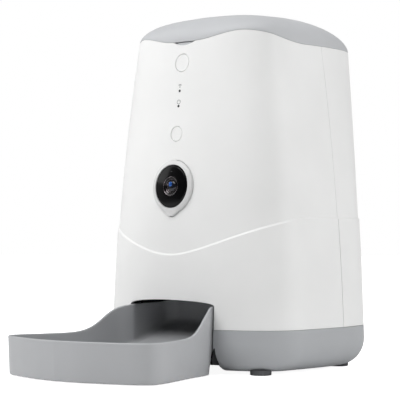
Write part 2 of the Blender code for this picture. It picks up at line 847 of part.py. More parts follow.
# ---------------------------------------------------------------- hopper and portioning drive
def make_hopper():
    count = 36
    directions = [2 * math.pi * k / count for k in range(count)]
    neck = (0.0, ROTOR_Y)
    neck_low = CHAMBER_TOP + GAP
    wall = 0.0022
    outer, inner = CHAMBER_RADIUS + CHAMBER_WALL, CHAMBER_RADIUS
    rings = [
        casing_ring(HOPPER_TOP, 0.0040, 0.0064, 0.0040),
        casing_ring(HOPPER_TOP - 0.0020, 0.0040, 0.0064, 0.0040),
        casing_ring(HOPPER_TOP - 0.0020, 0.0065, 0.0105, 0.0065),
        casing_ring(HOPPER_KNEE, 0.0080, 0.0235, 0.0100),
        ring(neck, outer, 0.1390, directions),
        ring(neck, outer, neck_low, directions),
        ring(neck, inner, neck_low, directions),
        ring(neck, inner, 0.1400, directions),
        casing_ring(HOPPER_KNEE + 0.0010, 0.0080 + wall, 0.0235 + wall, 0.0100 + wall),
        casing_ring(HOPPER_TOP, 0.0065 + wall, 0.0105 + wall, 0.0065 + wall),
    ]
    lofted("hopper", rings, CLEAR, closed=True)


def make_rotor_housing():
    outer = CHAMBER_RADIUS + CHAMBER_WALL
    floor_top = CHAMBER_FLOOR + 0.0024
    bore = 0.0046
    housing = turned(
        "rotor_housing",
        [
            (outer, CHAMBER_TOP),
            (outer, CHAMBER_FLOOR),
            (bore, CHAMBER_FLOOR),
            (bore, floor_top),
            (CHAMBER_RADIUS, floor_top),
            (CHAMBER_RADIUS, CHAMBER_TOP),
        ],
        CLEAR,
        steps=36,
        closed=True,
    )
    housing.location = (0, ROTOR_Y, 0)
    outlet = block(
        "outlet_cutter",
        (-0.0142, AXIS_Y - 0.0122, CHAMBER_FLOOR - 0.004),
        (0.0142, AXIS_Y + 0.0020, CHAMBER_FLOOR + 0.004),
        None,
    )
    cut(housing, as_cutter(outlet))


def gear_outline(teeth, turn):
    """Trapezoid teeth on a pitch circle, thin enough to run with backlash."""
    pitch = MODULE * teeth / 2
    root, tip = pitch - 1.25 * MODULE, pitch + 0.85 * MODULE
    step = 2 * math.pi / teeth
    points = []
    for k in range(teeth):
        middle = k * step + turn
        for share, radius in ((-0.30, root), (-0.12, tip), (0.12, tip), (0.30, root)):
            a = middle + share * step
            points.append((radius * math.cos(a), radius * math.sin(a)))
    return points


def impeller_outline(vanes=6):
    hub, thick = 0.0095, 0.0024
    points = []
    for k in range(vanes):
        a = 2 * math.pi * (k + 0.5) / vanes
        along = np.array((math.cos(a), math.sin(a)))
        across = np.array((-math.sin(a), math.cos(a))) * thick / 2
        for reach, side in ((hub, -1), (ROTOR_RADIUS, -1), (ROTOR_RADIUS, 1), (hub, 1)):
            points.append(tuple(along * reach + across * side))
        for share in (0.3, 0.5, 0.7):
            b = 2 * math.pi * (k + 0.5 + share) / vanes
            points.append((hub * math.cos(b), hub * math.sin(b)))
    return points


def make_drive():
    pinion_y = ROTOR_Y + GEAR_SPACING
    bore = 0.0043
    floor_top = CHAMBER_FLOOR + 0.0024

    vanes = [impeller_outline(), circle(bore, 20)]
    impeller = flat_outline("impeller", vanes, floor_top + 0.001, 0.1300, SILICONE)
    impeller.location.x, impeller.location.y = 0, ROTOR_Y
    shaft = turned(
        "rotor_shaft",
        [
            (0, 0.1345),
            (0.0050, 0.1340),
            (0.0078, 0.1315),
            (0.0078, 0.1303),
            (0.0040, 0.1303),
            (0.0040, 0.0885),
            (0, 0.0885),
        ],
        METAL,
        steps=20,
    )
    shaft.location = (0, ROTOR_Y, 0)

    gear_top = GEAR_Z + GEAR_THICK
    outlines = [gear_outline(GEAR_TEETH, 0.0), circle(bore, 20)]
    gear = flat_outline("output_gear", outlines, GEAR_Z, gear_top, GEAR)
    gear.location.x, gear.location.y = 0, ROTOR_Y
    half_tooth = math.pi / PINION_TEETH
    facing = -math.pi / 2 + half_tooth
    teeth = [gear_outline(PINION_TEETH, facing), circle(0.0018, 12)]
    pinion = flat_outline("motor_pinion", teeth, GEAR_Z, gear_top, METAL)
    pinion.location.x, pinion.location.y = 0, pinion_y
    motor_shaft = disc("motor_shaft", 0.0015, 0.0790, gear_top + 0.001, METAL, 12)
    motor_shaft.location = (0, pinion_y, 0)

    low, high, wall = 0.0850, DECK_Z - GAP, 0.0018
    count = 40

    def obround(grow, z):
        big, small = 0.0228 + grow, 0.0085 + grow
        lean = math.asin((big - small) / GEAR_SPACING)
        points = []
        for k in range(count):
            a = math.pi * (2 * k / count - 1)
            rear = abs(a) < math.pi / 2 - lean
            radius, centre = (small, pinion_y) if rear else (big, ROTOR_Y)
            points.append((radius * math.sin(a), centre + radius * math.cos(a), z))
        return points

    rings = [obround(wall, low), obround(wall, high), obround(0, high), obround(0, low + wall)]
    box = lofted("gearbox_housing", rings, BLACK)
    cut(box, rod_cutter("gearbox_hole_cutter", 0.0026, 0, pinion_y, low - 0.002, low + 0.004, 16))

    top, body_low = low - GAP, 0.0460
    motor = turned(
        "drive_motor",
        [(0, 0.0780), (0.0020, 0.0780), (0.0020, top), (0.0140, top), (0.0140, body_low), (0, body_low)],
        METAL,
        steps=28,
    )
    motor.location = (0, pinion_y, 0)


def make_deck():
    inset = 0.0055
    rings = [casing_ring(z, inset, inset, inset) for z in (DECK_Z, DECK_Z + DECK_THICK)]
    deck = lofted("inner_deck", rings, BLACK)
    chute = block(
        "deck_chute_cutter",
        (-0.0168, AXIS_Y - 0.0175, DECK_Z - 0.002),
        (0.0168, AXIS_Y + 0.0048, DECK_Z + 0.006),
        None,
    )
    shaft_hole = rod_cutter("deck_shaft_cutter", 0.0056, 0, ROTOR_Y, DECK_Z - 0.002, DECK_Z + 0.006)
    cut(deck, as_cutter(chute), shaft_hole)


# ---------------------------------------------------------------- front panel
def make_button(name, z, radius):
    cap = radius - 0.0004
    button = turned(
        name,
        [
            (0, 0.0003),
            (cap * 0.6, 0.00022),
            (cap - 0.0006, 0.0),
            (cap, -0.0006),
            (cap, -0.0034),
            (0.0024, -0.0034),
            (0.0024, -0.0052),
            (0, -0.0052),
        ],
        WHITE,
        steps=32,
    )
    on_front(button, z)
    switch_name = name.replace("button", "switch")
    on_front(block(switch_name, (-0.003, -0.003, -0.0082), (0.003, 0.003, -0.0062), BLACK), z)


def make_front_panel():
    make_button("feed_button", FEED_BUTTON_Z, FEED_BUTTON_RADIUS)
    make_button("pair_button", PAIR_BUTTON_Z, PAIR_BUTTON_RADIUS)
    for name, z in (("network_light", NETWORK_LIGHT_Z), ("power_light", POWER_LIGHT_Z)):
        on_front(disc(name, LIGHT_RADIUS, -0.0072, 0.0001, CLEAR, 12), z)
    middle = (FEED_BUTTON_Z + PAIR_BUTTON_Z) / 2
    half = (FEED_BUTTON_Z - PAIR_BUTTON_Z) / 2 + 0.0033
    on_front(block("button_board", (-0.009, -half, -0.0110), (0.009, half, -0.0095), BOARD), middle)
    on_front(disc("microphone", 0.0022, -0.0090, -0.0075, METAL, 12), middle - 0.016)


def make_camera():
    outlines = [teardrop(BEZEL_RADIUS, BEZEL_TIP), circle(CAMERA_RADIUS + 0.0003, 40)]
    rim = flat_outline("camera_bezel", outlines, -0.0034, 0.0018, WHITE)
    on_front(rim, CAMERA_Z)
    glass = turned(
        "camera_glass",
        [
            (CAMERA_RADIUS - 0.0006, 0.0024),
            (CAMERA_RADIUS, 0.0018),
            (CAMERA_RADIUS, -0.0004),
            (LENS_RADIUS + 0.0003, -0.0004),
            (LENS_RADIUS + 0.0003, 0.0024),
        ],
        GLOSS,
        steps=32,
        closed=True,
    )
    on_front(glass, CAMERA_Z)
    lens_bore, lens_seat = 0.0046, -0.0040
    barrel = turned(
        "lens_barrel",
        [
            (0, lens_seat),
            (lens_bore, lens_seat),
            (lens_bore, -0.0005),
            (LENS_RADIUS - 0.0012, 0.0029),
            (LENS_RADIUS, 0.0029),
            (LENS_RADIUS, -0.0090),
            (0, -0.0090),
        ],
        BLACK,
        steps=32,
    )
    on_front(barrel, CAMERA_Z)
    front = 0.0006
    radius, bulge = 0.0043, 0.0016
    turns = [math.radians(a) for a in range(0, 91, 18)]
    dome = [(radius * math.sin(a), front - bulge + bulge * math.cos(a)) for a in turns]
    foot = lens_seat + 0.0004
    lens = turned("lens_glass", [*dome, (radius, foot), (0, foot)], LENS, steps=24)
    on_front(lens, CAMERA_Z)
    on_front(block("camera_board", (-0.014, -0.015, -0.0120), (0.014, 0.015, -0.0104), BOARD), CAMERA_Z)


# ---------------------------------------------------------------- electronics and battery
def make_electronics():
    block("main_board", (-0.045, AXIS_Y + 0.1110, 0.050), (0.045, AXIS_Y + 0.1126, 0.098), BOARD)
    speaker = turned(
        "speaker",
        [(0, 0.0150), (0.0070, 0.0150), (0.0120, 0.0090), (0.0120, 0.0062), (0, 0.0062)],
        BLACK,
        steps=24,
    )
    speaker.location = (0, AXIS_Y + 0.0215, 0)
    z = 0.052
    face = 0.0012
    socket = turned(
        "power_socket",
        [
            (0, -0.0100),
            (0.0030, -0.0100),
            (0.0030, -face),
            (0.0055, -face),
            (0.0055, -0.0130),
            (0, -0.0130),
        ],
        BLACK,
        steps=24,
    )
    socket.rotation_euler = (-math.pi / 2, 0, 0)
    socket.location = (0, AXIS_Y + section(z)[2], z)


def make_battery():
    half, reach = BATTERY_HALF, BATTERY_REACH
    wall = 0.0018
    low, high = BASE_BOTTOM + WALL + GAP, 0.0360
    front, rear = BATTERY_Y - reach, BATTERY_Y + reach
    tray = block("battery_tray", (-half - wall, front - wall, low), (half + wall, rear + wall, high), BLACK)
    hollow = block("tray_hollow_cutter", (-half, front, low - 0.002), (half, rear, high - wall), None)
    cut(tray, as_cutter(hollow))
    for i in range(3):
        end, tip = CELL_LENGTH / 2, 0.0035
        cell = turned(
            f"battery_cell_{i + 1}",
            [
                (0, end),
                (tip, end),
                (tip, end - 0.0015),
                (CELL_RADIUS, end - 0.0015),
                (CELL_RADIUS, -end),
                (0, -end),
            ],
            CELL,
            steps=20,
        )
        cell.rotation_euler = (math.pi / 2 * (1 if i % 2 else -1), 0, 0)
        cell.location = (CELL_PITCH * (i - 1), BATTERY_Y, low + CELL_RADIUS + 0.0010)
    for name, sign in (("front", -1), ("rear", 1)):
        y = BATTERY_Y + sign * (reach - 0.0010)
        corner = (half - 0.002, y + 0.0003, low + 0.022)
        block(f"contact_plate_{name}", (-half + 0.002, y - 0.0003, low + 0.004), corner, METAL)
    margin = 0.0030
    block(
        "battery_door",
        (-half - margin, BATTERY_Y - reach - margin, 0.0008),
        (half + margin, BATTERY_Y + reach + margin, 0.0025),
        GREY,
        bevel=0.0005,
    )


make_front_shell()
make_rear_shell()
make_base_shell()
make_feet_and_pillars()
make_bay_liner()
make_chute()
make_bowl()
make_lid_shell()
make_lid_fittings()
make_hopper()
make_rotor_housing()
make_drive()
make_deck()
make_front_panel()
make_camera()
make_electronics()
make_battery()
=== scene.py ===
"""Automatic pet feeder with a camera: the surfaces and materials that show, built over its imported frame.

Metres, +Z up, front towards -Y. The casing is symmetric about x = 0.
"""

import json
from math import cos, pi, radians, sin, sqrt

import bmesh
import bpy
import numpy as np
from mathutils import Matrix, Vector


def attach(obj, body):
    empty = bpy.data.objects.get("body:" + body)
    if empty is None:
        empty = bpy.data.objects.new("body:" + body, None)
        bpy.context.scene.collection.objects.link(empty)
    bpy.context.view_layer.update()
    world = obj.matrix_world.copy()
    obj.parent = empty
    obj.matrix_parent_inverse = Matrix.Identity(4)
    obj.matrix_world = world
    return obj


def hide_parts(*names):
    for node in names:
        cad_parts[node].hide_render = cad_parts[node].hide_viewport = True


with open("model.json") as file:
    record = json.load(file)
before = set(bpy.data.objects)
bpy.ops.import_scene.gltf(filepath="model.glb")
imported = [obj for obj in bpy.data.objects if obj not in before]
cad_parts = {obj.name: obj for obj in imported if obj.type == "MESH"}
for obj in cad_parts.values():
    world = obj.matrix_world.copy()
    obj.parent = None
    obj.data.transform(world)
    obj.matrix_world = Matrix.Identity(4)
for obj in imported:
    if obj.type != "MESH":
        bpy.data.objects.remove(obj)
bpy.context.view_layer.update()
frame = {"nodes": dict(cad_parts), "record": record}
NODES = frame["nodes"]

# ---- camera
CAMERA_PLACE = (0.98121, -1.05705, 0.11798)
CAMERA_AZIMUTH = radians(42.531)
CAMERA_ELEVATION = radians(1.171)
CAMERA_LENS = 149.84

eye = bpy.data.cameras.new("eye")
eye.lens = CAMERA_LENS
eye.sensor_width = 36.0
eye.clip_end = 50.0
camera = bpy.data.objects.new("eye", eye)
camera.location = CAMERA_PLACE
camera.rotation_euler = (pi / 2 + CAMERA_ELEVATION, 0.0, CAMERA_AZIMUTH)
bpy.context.scene.collection.objects.link(camera)
bpy.context.scene.camera = camera

# ---- driving dimensions, as in the CAD
HEIGHT = 0.31
AXIS_Y = 0.0239
HALF_WIDTH = (0.1031, -0.0066, -0.0229)
FRONT_REACH = (0.0522, -0.0016, -0.0226)
REAR_REACH = (0.1302, -0.0072, 0.0145)
FRONT_POWER = 2.23
REAR_POWER = 4.0
WALL = 0.0025
SEAM_Y = AXIS_Y + 0.061
PIVOT_Y = AXIS_Y + 0.04

BASE_BOTTOM = 0.003
BASE_SEAM = 0.0378
BASE_EDGE_RISE = 0.024
BASE_EDGE_INSET = 0.019
STEP_OUT = 0.001
STEP_RISE = 0.0022

RIM_FRONT = 0.2842
RIM_CREST = 0.2909
RIM_REAR = 0.2818
RIM_LEVEL = 7.0  # degrees either side of the front that stay low
RIM_CREST_AT = 44.0  # degrees from the front to each crest
RIM_EASE = 1.2
NOTCH_HALF_WIDTH = 0.0125
NOTCH_DEPTH = 0.003
WAVE_FRONT = 0.1005
WAVE_REAR = 0.1318
WAVE_CREST_AT = 78.0  # degrees from the front

LID_POLE = (0.0, AXIS_Y + 0.046)
DOME_FULLNESS = 3.6
DOME_POWER = 0.58
DOME_EVENNESS = 2.0  # how fast the corners die out towards the pole
LID_WALL = 0.0022
HOPPER_TOP = 0.272
HOPPER_KNEE = 0.165
LID_PLUG_LOW = 0.2635
LID_FLANGE_LOW = 0.2748
LID_FLANGE_TOP = 0.2768
ROTOR_Y = AXIS_Y + 0.034
ROTOR_RADIUS = 0.0455
CHAMBER_RADIUS = 0.0476
CHAMBER_WALL = 0.0024
CHAMBER_FLOOR = 0.108
CHAMBER_TOP = 0.133

BAY_HALF_WIDTH = 0.0486
BAY_SIDE_TOP = 0.0576
BAY_ARCH_TOP = 0.062
BAY_BACK = AXIS_Y + 0.005
LINER_BOTTOM = 0.0088

BOWL_BOTTOM = 0.001
BOWL_RIM = 0.0335
BOWL_NECK_RIM = 0.058
NECK_RISE_Y = -0.0723
NECK_RISE_LENGTH = 0.0077
NECK_CROWN = 0.0028
NECK_UNDERCUT = (-0.0575, -0.0465)
BOWL_FLOOR = 0.0045
BOWL_WALL = 0.0024
RAMP_TOP = 0.041
RAMP_SLOPE = 0.36
BOWL_BACK = AXIS_Y + 0.003
# Right half of the bowl's rim in plan, from the back corner forwards: (x, y from the widest line)
BOWL_PLAN = [
    (0.0474, -0.04), (0.0474, -0.0462), (0.0484, -0.049), (0.0506, -0.0528), (0.0552, -0.06),
    (0.0589, -0.07), (0.063, -0.084), (0.0692, -0.102), (0.0763, -0.121), (0.0818, -0.137),
    (0.0845, -0.149), (0.0828, -0.1585), (0.0745, -0.1655), (0.06, -0.1712), (0.042, -0.1768),
    (0.0215, -0.1816), (0.0, -0.1835),
]

FEED_BUTTON_Z = 0.2658
NETWORK_LIGHT_Z = 0.2413
POWER_LIGHT_Z = 0.2281
NETWORK_ICON_Z = 0.2457
POWER_ICON_Z = 0.2317
PAIR_BUTTON_Z = 0.2041
CAMERA_Z = 0.1587
FEED_BUTTON_RADIUS = 0.008
PAIR_BUTTON_RADIUS = 0.0067
LIGHT_RADIUS = 0.0011
CAMERA_RADIUS = 0.0184
BEZEL_RADIUS = 0.0227
BEZEL_TIP = 0.0258
LENS_RADIUS = 0.0088

EDGE = 0.0003  # small radius that every moulded edge is broken with
EDGE_STEPS = (0.0, 0.06, 0.16, 0.32, 0.55, 0.8, 1.0)
QUARTER = np.linspace(0, pi / 2, 5)
SEAM_GAP = 0.0002

FEET = ((0.0763, AXIS_Y - 0.0193), (0.0618, AXIS_Y + 0.1045))
PILLARS = ((0.066, AXIS_Y - 0.002), (0.072, AXIS_Y + 0.078))
FOOT_RADIUS = 0.009
BATTERY_Y = AXIS_Y + 0.066
BATTERY_HALF = 0.041
BATTERY_REACH = 0.0275
INLET_Z = 0.052
SPEAKER_Y = AXIS_Y + 0.0215

FLOOR_SIZE = 12.0
FLOOR_GLOW = 0.93  # the sweep is lit from within, so that the feeder stands on near white
DIM_AZIMUTH = radians(42.0)
WORLD_BEHIND = 0.4
WORLD_BEFORE = 0.05


# ---- materials
finishes = {}  # by name; a piece of the CAD takes the one its slot names


def new_material(name):
    """A node material: itself, its tree, its shader and the coordinates its pattern follows."""
    made = finishes[name] = bpy.data.materials.new(name)
    made.use_nodes = True
    tree = made.node_tree
    return made, tree, tree.nodes["Principled BSDF"], add_node(tree, "ShaderNodeTexCoord").outputs["Object"]


def feed(node, **values):
    """Sets a node's sockets, named with _ for a space. A value that is an output is linked."""
    for key, value in values.items():
        socket = node.inputs[key.replace("_", " ")]
        if isinstance(value, bpy.types.NodeSocket):
            node.id_data.links.new(value, socket)
        else:
            socket.default_value = value
    return node


def add_node(tree, kind, **values):
    """A new node. Names in lower case are its settings, the others its sockets."""
    node = tree.nodes.new(kind)
    settings = {key: value for key, value in values.items() if key.islower()}
    for key, value in settings.items():
        setattr(node, key, value)
    return feed(node, **{key: value for key, value in values.items() if key not in settings})


def noise(tree, place, scale, detail=2.0, roughness=0.5):
    node = add_node(tree, "ShaderNodeTexNoise", Vector=place, Scale=scale, Detail=detail, Roughness=roughness)
    return node.outputs["Fac"]


def remap(tree, value, low, high):
    """The middle of a noise, where nearly all of it lies, spread from low to high."""
    span = {"From_Min": 0.3, "From_Max": 0.7, "To_Min": low, "To_Max": high}
    return add_node(tree, "ShaderNodeMapRange", Value=value, **span).outputs["Result"]


def mixed(tree, factor, one, two):
    node = add_node(tree, "ShaderNodeMix", data_type="RGBA", Factor=factor)
    for socket, colour in zip([socket for socket in node.inputs if socket.type == "RGBA"], (one, two)):
        socket.default_value = (*colour, 1.0)
    return next(socket for socket in node.outputs if socket.type == "RGBA")


def bumped(tree, height, strength, distance, under=None):
    node = add_node(tree, "ShaderNodeBump", Height=height, Strength=strength, Distance=distance)
    if under:
        feed(node, Normal=under)
    return node.outputs["Normal"]


def shaded(colour, share):
    return tuple(channel * share for channel in colour)


def plastic(name, colour, roughness, grain=0.000012, grain_scale=2600.0, variation=0.03, specular=0.4):
    """Moulded plastic: a spark-eroded grain, slow changes of tone from the moulding flow, handling marks."""
    made, tree, shader, place = new_material(name)
    flow = remap(tree, noise(tree, place, 11.0, 3.0), 0.0, 1.0)
    handling = noise(tree, place, 70.0, 6.0, 0.62)
    swell = bumped(tree, noise(tree, place, 55.0, 1.0), 0.6, 0.00004)
    feed(
        shader,
        Base_Color=mixed(tree, flow, shaded(colour, 1 - variation), shaded(colour, 1 + variation)),
        Roughness=remap(tree, handling, roughness - 0.05, roughness + 0.06),
        Specular_IOR_Level=specular,
        Normal=bumped(tree, noise(tree, place, grain_scale, 2.0, 0.6), 1.0, grain, swell),
    )
    return made


def brushed_metal(name, colour, roughness):
    made, tree, shader, place = new_material(name)
    stretch = add_node(tree, "ShaderNodeMapping", Vector=place, Scale=(900.0, 900.0, 60.0))
    lines = noise(tree, stretch.outputs["Vector"], 2.0, 3.0)
    feed(
        shader,
        Base_Color=mixed(tree, lines, shaded(colour, 0.88), colour),
        Roughness=remap(tree, lines, roughness - 0.06, roughness + 0.08),
        Metallic=1.0,
        Normal=bumped(tree, lines, 0.5, 0.000006),
    )
    return made


def circuit_board(name):
    """Green solder mask over fine copper runs."""
    made, tree, shader, place = new_material(name)
    mask = {"Color1": (0.012, 0.105, 0.045, 1.0), "Color2": (0.016, 0.125, 0.055, 1.0)}
    copper = {"Mortar": (0.03, 0.22, 0.09, 1.0), "Mortar_Size": 0.035}
    runs = add_node(tree, "ShaderNodeTexBrick", Vector=place, Scale=260.0, **mask, **copper)
    feed(
        shader,
        Base_Color=runs.outputs["Color"],
        Roughness=remap(tree, noise(tree, place, 900.0, 2.0), 0.3, 0.42),
        Normal=bumped(tree, runs.outputs["Fac"], 0.4, 0.00002),
    )
    return made


def polished(name, colour, roughness, specular, metallic=0.0):
    """Gloss plastic or coated glass, with the faintest polishing marks and dust."""
    made, tree, shader, place = new_material(name)
    dust = noise(tree, place, 480.0, 4.0, 0.7)
    tone = noise(tree, place, 90.0, 2.0)
    feed(
        shader,
        Base_Color=mixed(tree, tone, shaded(colour, 0.8), shaded(colour, 1.2)),
        Roughness=remap(tree, dust, roughness * 0.6, roughness * 1.6),
        Specular_IOR_Level=specular,
        Metallic=metallic,
    )
    return made


WHITE = plastic("white_shell", (0.87, 0.872, 0.866), 0.42, grain=0.000008)
BEZEL = plastic("bezel_white", (0.7, 0.702, 0.7), 0.36)
LID_GREY = plastic("lid_grey", (0.52, 0.53, 0.546), 0.44)
BASE_GREY = plastic("grey_shell", (0.43, 0.442, 0.458), 0.46)
BOWL_GREY = plastic("bowl_grey", (0.432, 0.44, 0.454), 0.36, grain=0.000006)
BLACK = plastic("black_plastic", (0.012, 0.012, 0.014), 0.5, 0.00003, 1500.0, variation=0.15)
FROSTED = plastic("hopper_plastic", (0.56, 0.575, 0.6), 0.34, variation=0.05)
SILICONE = plastic("silicone", (0.62, 0.64, 0.66), 0.62, grain=0.00002, grain_scale=1200.0)
RUBBER = plastic("rubber", (0.105, 0.107, 0.112), 0.72, grain=0.00004, grain_scale=1400.0, variation=0.12)
plastic("gear_plastic", (0.72, 0.7, 0.64), 0.42)
plastic("battery_wrap", (0.06, 0.072, 0.09), 0.28, grain=0.000004, variation=0.1)
PRINT = plastic("printed_ink", (0.15, 0.152, 0.16), 0.55)
SMOKED = polished("smoked_light", (0.06, 0.062, 0.066), 0.2, 0.5)
GLOSS = polished("black_gloss", (0.002, 0.002, 0.0024), 0.1, 0.22)
LENS = polished("lens_glass", (0.03, 0.13, 0.48), 0.08, 0.8, 0.6)
IRIS = polished("lens_iris", (0.27, 0.235, 0.25), 0.22, 0.5, 0.85)
GLASS = polished("lens_dark", (0.006, 0.007, 0.012), 0.06, 0.6)
METAL = brushed_metal("bright_metal", (0.62, 0.62, 0.64), 0.3)
circuit_board("circuit_board")

for part in frame["record"]["subparts"]:
    data = NODES[part["node"]].data
    data.materials.clear()
    data.materials.append(finishes[part["material_slot"]])


# ---- mesh helpers
def placed(name, mesh, finish):
    made = bpy.data.objects.new(name, mesh)
    bpy.context.scene.collection.objects.link(made)
    if finish:
        mesh.materials.append(finish)
    return made


def shade(mesh, angle=38.0):
    mesh.shade_smooth()
    mesh.set_sharp_from_angle(angle=radians(angle))


def meshed(bm, name, finish, angle=38.0):
    mesh = bpy.data.meshes.new(name)
    bm.to_mesh(mesh)
    bm.free()
    shade(mesh, angle)
    return placed(name, mesh, finish)


def from_faces(name, points, faces, finish, angle=38.0):
    """A mesh of the points its faces use, welded, its faces turned outwards."""
    bm = bmesh.new()
    verts = {}
    for face in faces:
        for index in face:
            if index not in verts:
                verts[index] = bm.verts.new(points[index])
    for face in faces:
        bm.faces.new([verts[index] for index in face])
    bmesh.ops.remove_doubles(bm, verts=bm.verts, dist=0.000004)
    bmesh.ops.dissolve_degenerate(bm, dist=0.000002, edges=bm.edges)
    bmesh.ops.recalc_face_normals(bm, faces=bm.faces)
    return meshed(bm, name, finish, angle)


def wall_between(name, outer, inner, finish, present=None):
    """A closed wall between two grids of points. present marks the cells of the grid that exist."""
    rows, columns = outer.shape[:2]
    points = np.concatenate([outer.reshape(-1, 3), inner.reshape(-1, 3)])
    behind = rows * columns
    across = columns - 1
    if present is None:
        present = np.ones((rows - 1, across), bool)
    faces = []
    for i in range(rows - 1):
        for j in range(across):
            if not present[i, j]:
                continue
            a, d = i * columns + j, (i + 1) * columns + j
            b, c = a + 1, d + 1
            faces.append((a, b, c, d))
            faces.append((behind + d, behind + c, behind + b, behind + a))
            for (row, column), one, two in (
                ((i, j - 1), d, a),
                ((i, j + 1), b, c),
                ((i - 1, j), a, b),
                ((i + 1, j), c, d),
            ):
                if not (0 <= row < rows - 1 and 0 <= column < across and present[row, column]):
                    faces.append((two, one, behind + one, behind + two))
    return from_faces(name, points, faces, finish)


def lofted(name, rings, finish, closed=False, caps=(True, True), angle=38.0):
    """A surface through rings of equally many points."""
    count = len(rings[0])
    points = np.concatenate([np.asarray(loop, float) for loop in rings])
    faces = []
    pairs = list(zip(range(len(rings)), range(1, len(rings))))
    if closed:
        pairs.append((len(rings) - 1, 0))
    for one, two in pairs:
        for i in range(count):
            j = (i + 1) % count
            faces.append((one * count + i, one * count + j, two * count + j, two * count + i))
    for end, capped in zip((0, len(rings) - 1), caps):
        if capped and not closed:
            faces.append(tuple(end * count + i for i in range(count)))
    return from_faces(name, points, faces, finish, angle)


def turned(name, profile, finish, steps=96, closed=False, angle=38.0):
    """A profile of (radius, height) points turned about local Z."""
    turns = [2 * pi * k / steps for k in range(steps)]
    rings = [[(radius * cos(a), radius * sin(a), height) for a in turns] for radius, height in profile]
    return lofted(name, rings, finish, closed, (profile[0][0] > 0, profile[-1][0] > 0), angle)


def block(name, low, high, finish=None, bevel=0.0, segments=3):
    low, high = Vector(low), Vector(high)
    bm = bmesh.new()
    bmesh.ops.create_cube(bm, size=1.0)
    bmesh.ops.scale(bm, vec=high - low, verts=bm.verts)
    bmesh.ops.translate(bm, vec=(low + high) / 2, verts=bm.verts)
    if bevel:
        bmesh.ops.bevel(bm, geom=bm.edges[:], offset=bevel, segments=segments, profile=0.5, affect="EDGES")
    return meshed(bm, name, finish)


def moved(obj, x, y, z, turn=Matrix()):
    """The object with its mesh turned about the origin, then moved."""
    obj.data.transform(Matrix.Translation((x, y, z)) @ turn)
    return obj


def dome(radius, rise, count, low=0.0):
    """A turned profile from the pole of a shallow dome down to its edge."""
    return [(radius * sin(a), low + rise * cos(a)) for a in np.linspace(0, pi / 2, count)]


def cut(obj, *cutters):
    """The cutters are taken out of the object's mesh, and then go."""
    for cutter in cutters:
        step = obj.modifiers.new("cut", "BOOLEAN")
        step.operation = "DIFFERENCE"
        step.solver = "MANIFOLD"
        step.object = cutter
    bpy.context.view_layer.update()
    graph = bpy.context.evaluated_depsgraph_get()
    mesh = bpy.data.meshes.new_from_object(obj.evaluated_get(graph))
    obj.modifiers.clear()
    old = obj.data
    obj.data = mesh
    bpy.data.meshes.remove(old)
    mesh.name = obj.name
    shade(mesh)
    for cutter in cutters:
        bpy.data.objects.remove(cutter, do_unlink=True)


def crisp(obj):
    """Face-weighted normals, so that flats beside small radii stay flat."""
    step = obj.modifiers.new("weighted", "WEIGHTED_NORMAL")
    step.keep_sharp = True
    return obj


def stands_for(obj, slot, *nodes, body="housing"):
    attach(obj, body)
    if nodes:
        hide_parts(*nodes)


# ---- casing form
def quadratic(terms, z):
    t = z / HEIGHT
    return terms[0] + terms[1] * t + terms[2] * t * t


def smooth(t):
    t = np.clip(t, 0.0, 1.0)
    return t * t * (3 - 2 * t)


def section(z, inset=0.0):
    """Half the casing's width, and its reach to the front and the rear, at a height."""
    return [quadratic(terms, z) - inset for terms in (HALF_WIDTH, FRONT_REACH, REAR_REACH)]


def casing(z, direction, inset=0.0):
    """Points of the casing in directions about the pivot line, 0 at the front and growing towards +X."""
    z, direction, inset = (values.astype(float) for values in np.broadcast_arrays(z, direction, inset))
    return on_section(z, direction, *section(z, inset))


def on_section(z, direction, half, front, rear):
    """Points of a section in directions about the pivot line, found by halving the span they lie in."""
    across, along = np.sin(direction), -np.cos(direction)
    low, high = np.zeros(z.shape), np.full(z.shape, 0.4)
    for _ in range(36):
        middle = (low + high) / 2
        x = np.abs(across) * middle
        y = PIVOT_Y - AXIS_Y + along * middle
        behind = y > 0
        reach = np.where(behind, rear, front)
        power = np.where(behind, REAR_POWER, FRONT_POWER)
        inside = (x / half) ** power + (np.abs(y) / reach) ** power < 1
        low = np.where(inside, middle, low)
        high = np.where(inside, high, middle)
    return np.stack([across * low, PIVOT_Y + along * low, z], axis=-1)


def lining(z, side, front, rear, count=168):
    """A ring inside the casing, drawn in by its own distance at the sides, front and rear."""
    directions = 2 * pi * np.arange(count) / count
    half, reach_front, reach_rear = section(z)
    return on_section(np.full(count, z), directions, half - side, reach_front - front, reach_rear - rear)


def direction_at_x(z, x, inset):
    half, front, _ = section(z, inset)
    y = AXIS_Y - front * (1 - np.minimum(np.abs(x) / half, 1.0) ** FRONT_POWER) ** (1 / FRONT_POWER)
    return np.arctan2(x, PIVOT_Y - y)


def direction_at_seam(z, inset, edge):
    half, _, rear = section(z, inset)
    x = half * (1 - ((edge - AXIS_Y) / rear) ** REAR_POWER) ** (1 / REAR_POWER)
    return np.arctan2(x, PIVOT_Y - edge)


def off_front(direction):
    """Degrees from the front, to either side."""
    turn = np.abs(direction)
    return np.degrees(np.minimum(turn, 2 * pi - turn))


def rim_height(direction):
    """The lid's lower edge: low in front, up to a crest on each side, and down again to the rear."""
    degrees = off_front(direction)
    climb = np.clip((degrees - RIM_LEVEL) / (RIM_CREST_AT - RIM_LEVEL), 0.0, 1.0)
    fall = np.maximum(degrees / RIM_CREST_AT - 1.0, 0.0)
    front = RIM_FRONT + (RIM_CREST - RIM_FRONT) * smooth(climb**RIM_EASE)
    behind = RIM_CREST - (RIM_CREST - RIM_REAR) * smooth(fall**0.85)
    return np.where(degrees < RIM_CREST_AT, front, behind)


def wave_height(direction):
    """The step across the casing, which climbs from the front to the sides."""
    return WAVE_FRONT + (WAVE_REAR - WAVE_FRONT) * smooth(off_front(direction) / WAVE_CREST_AT)


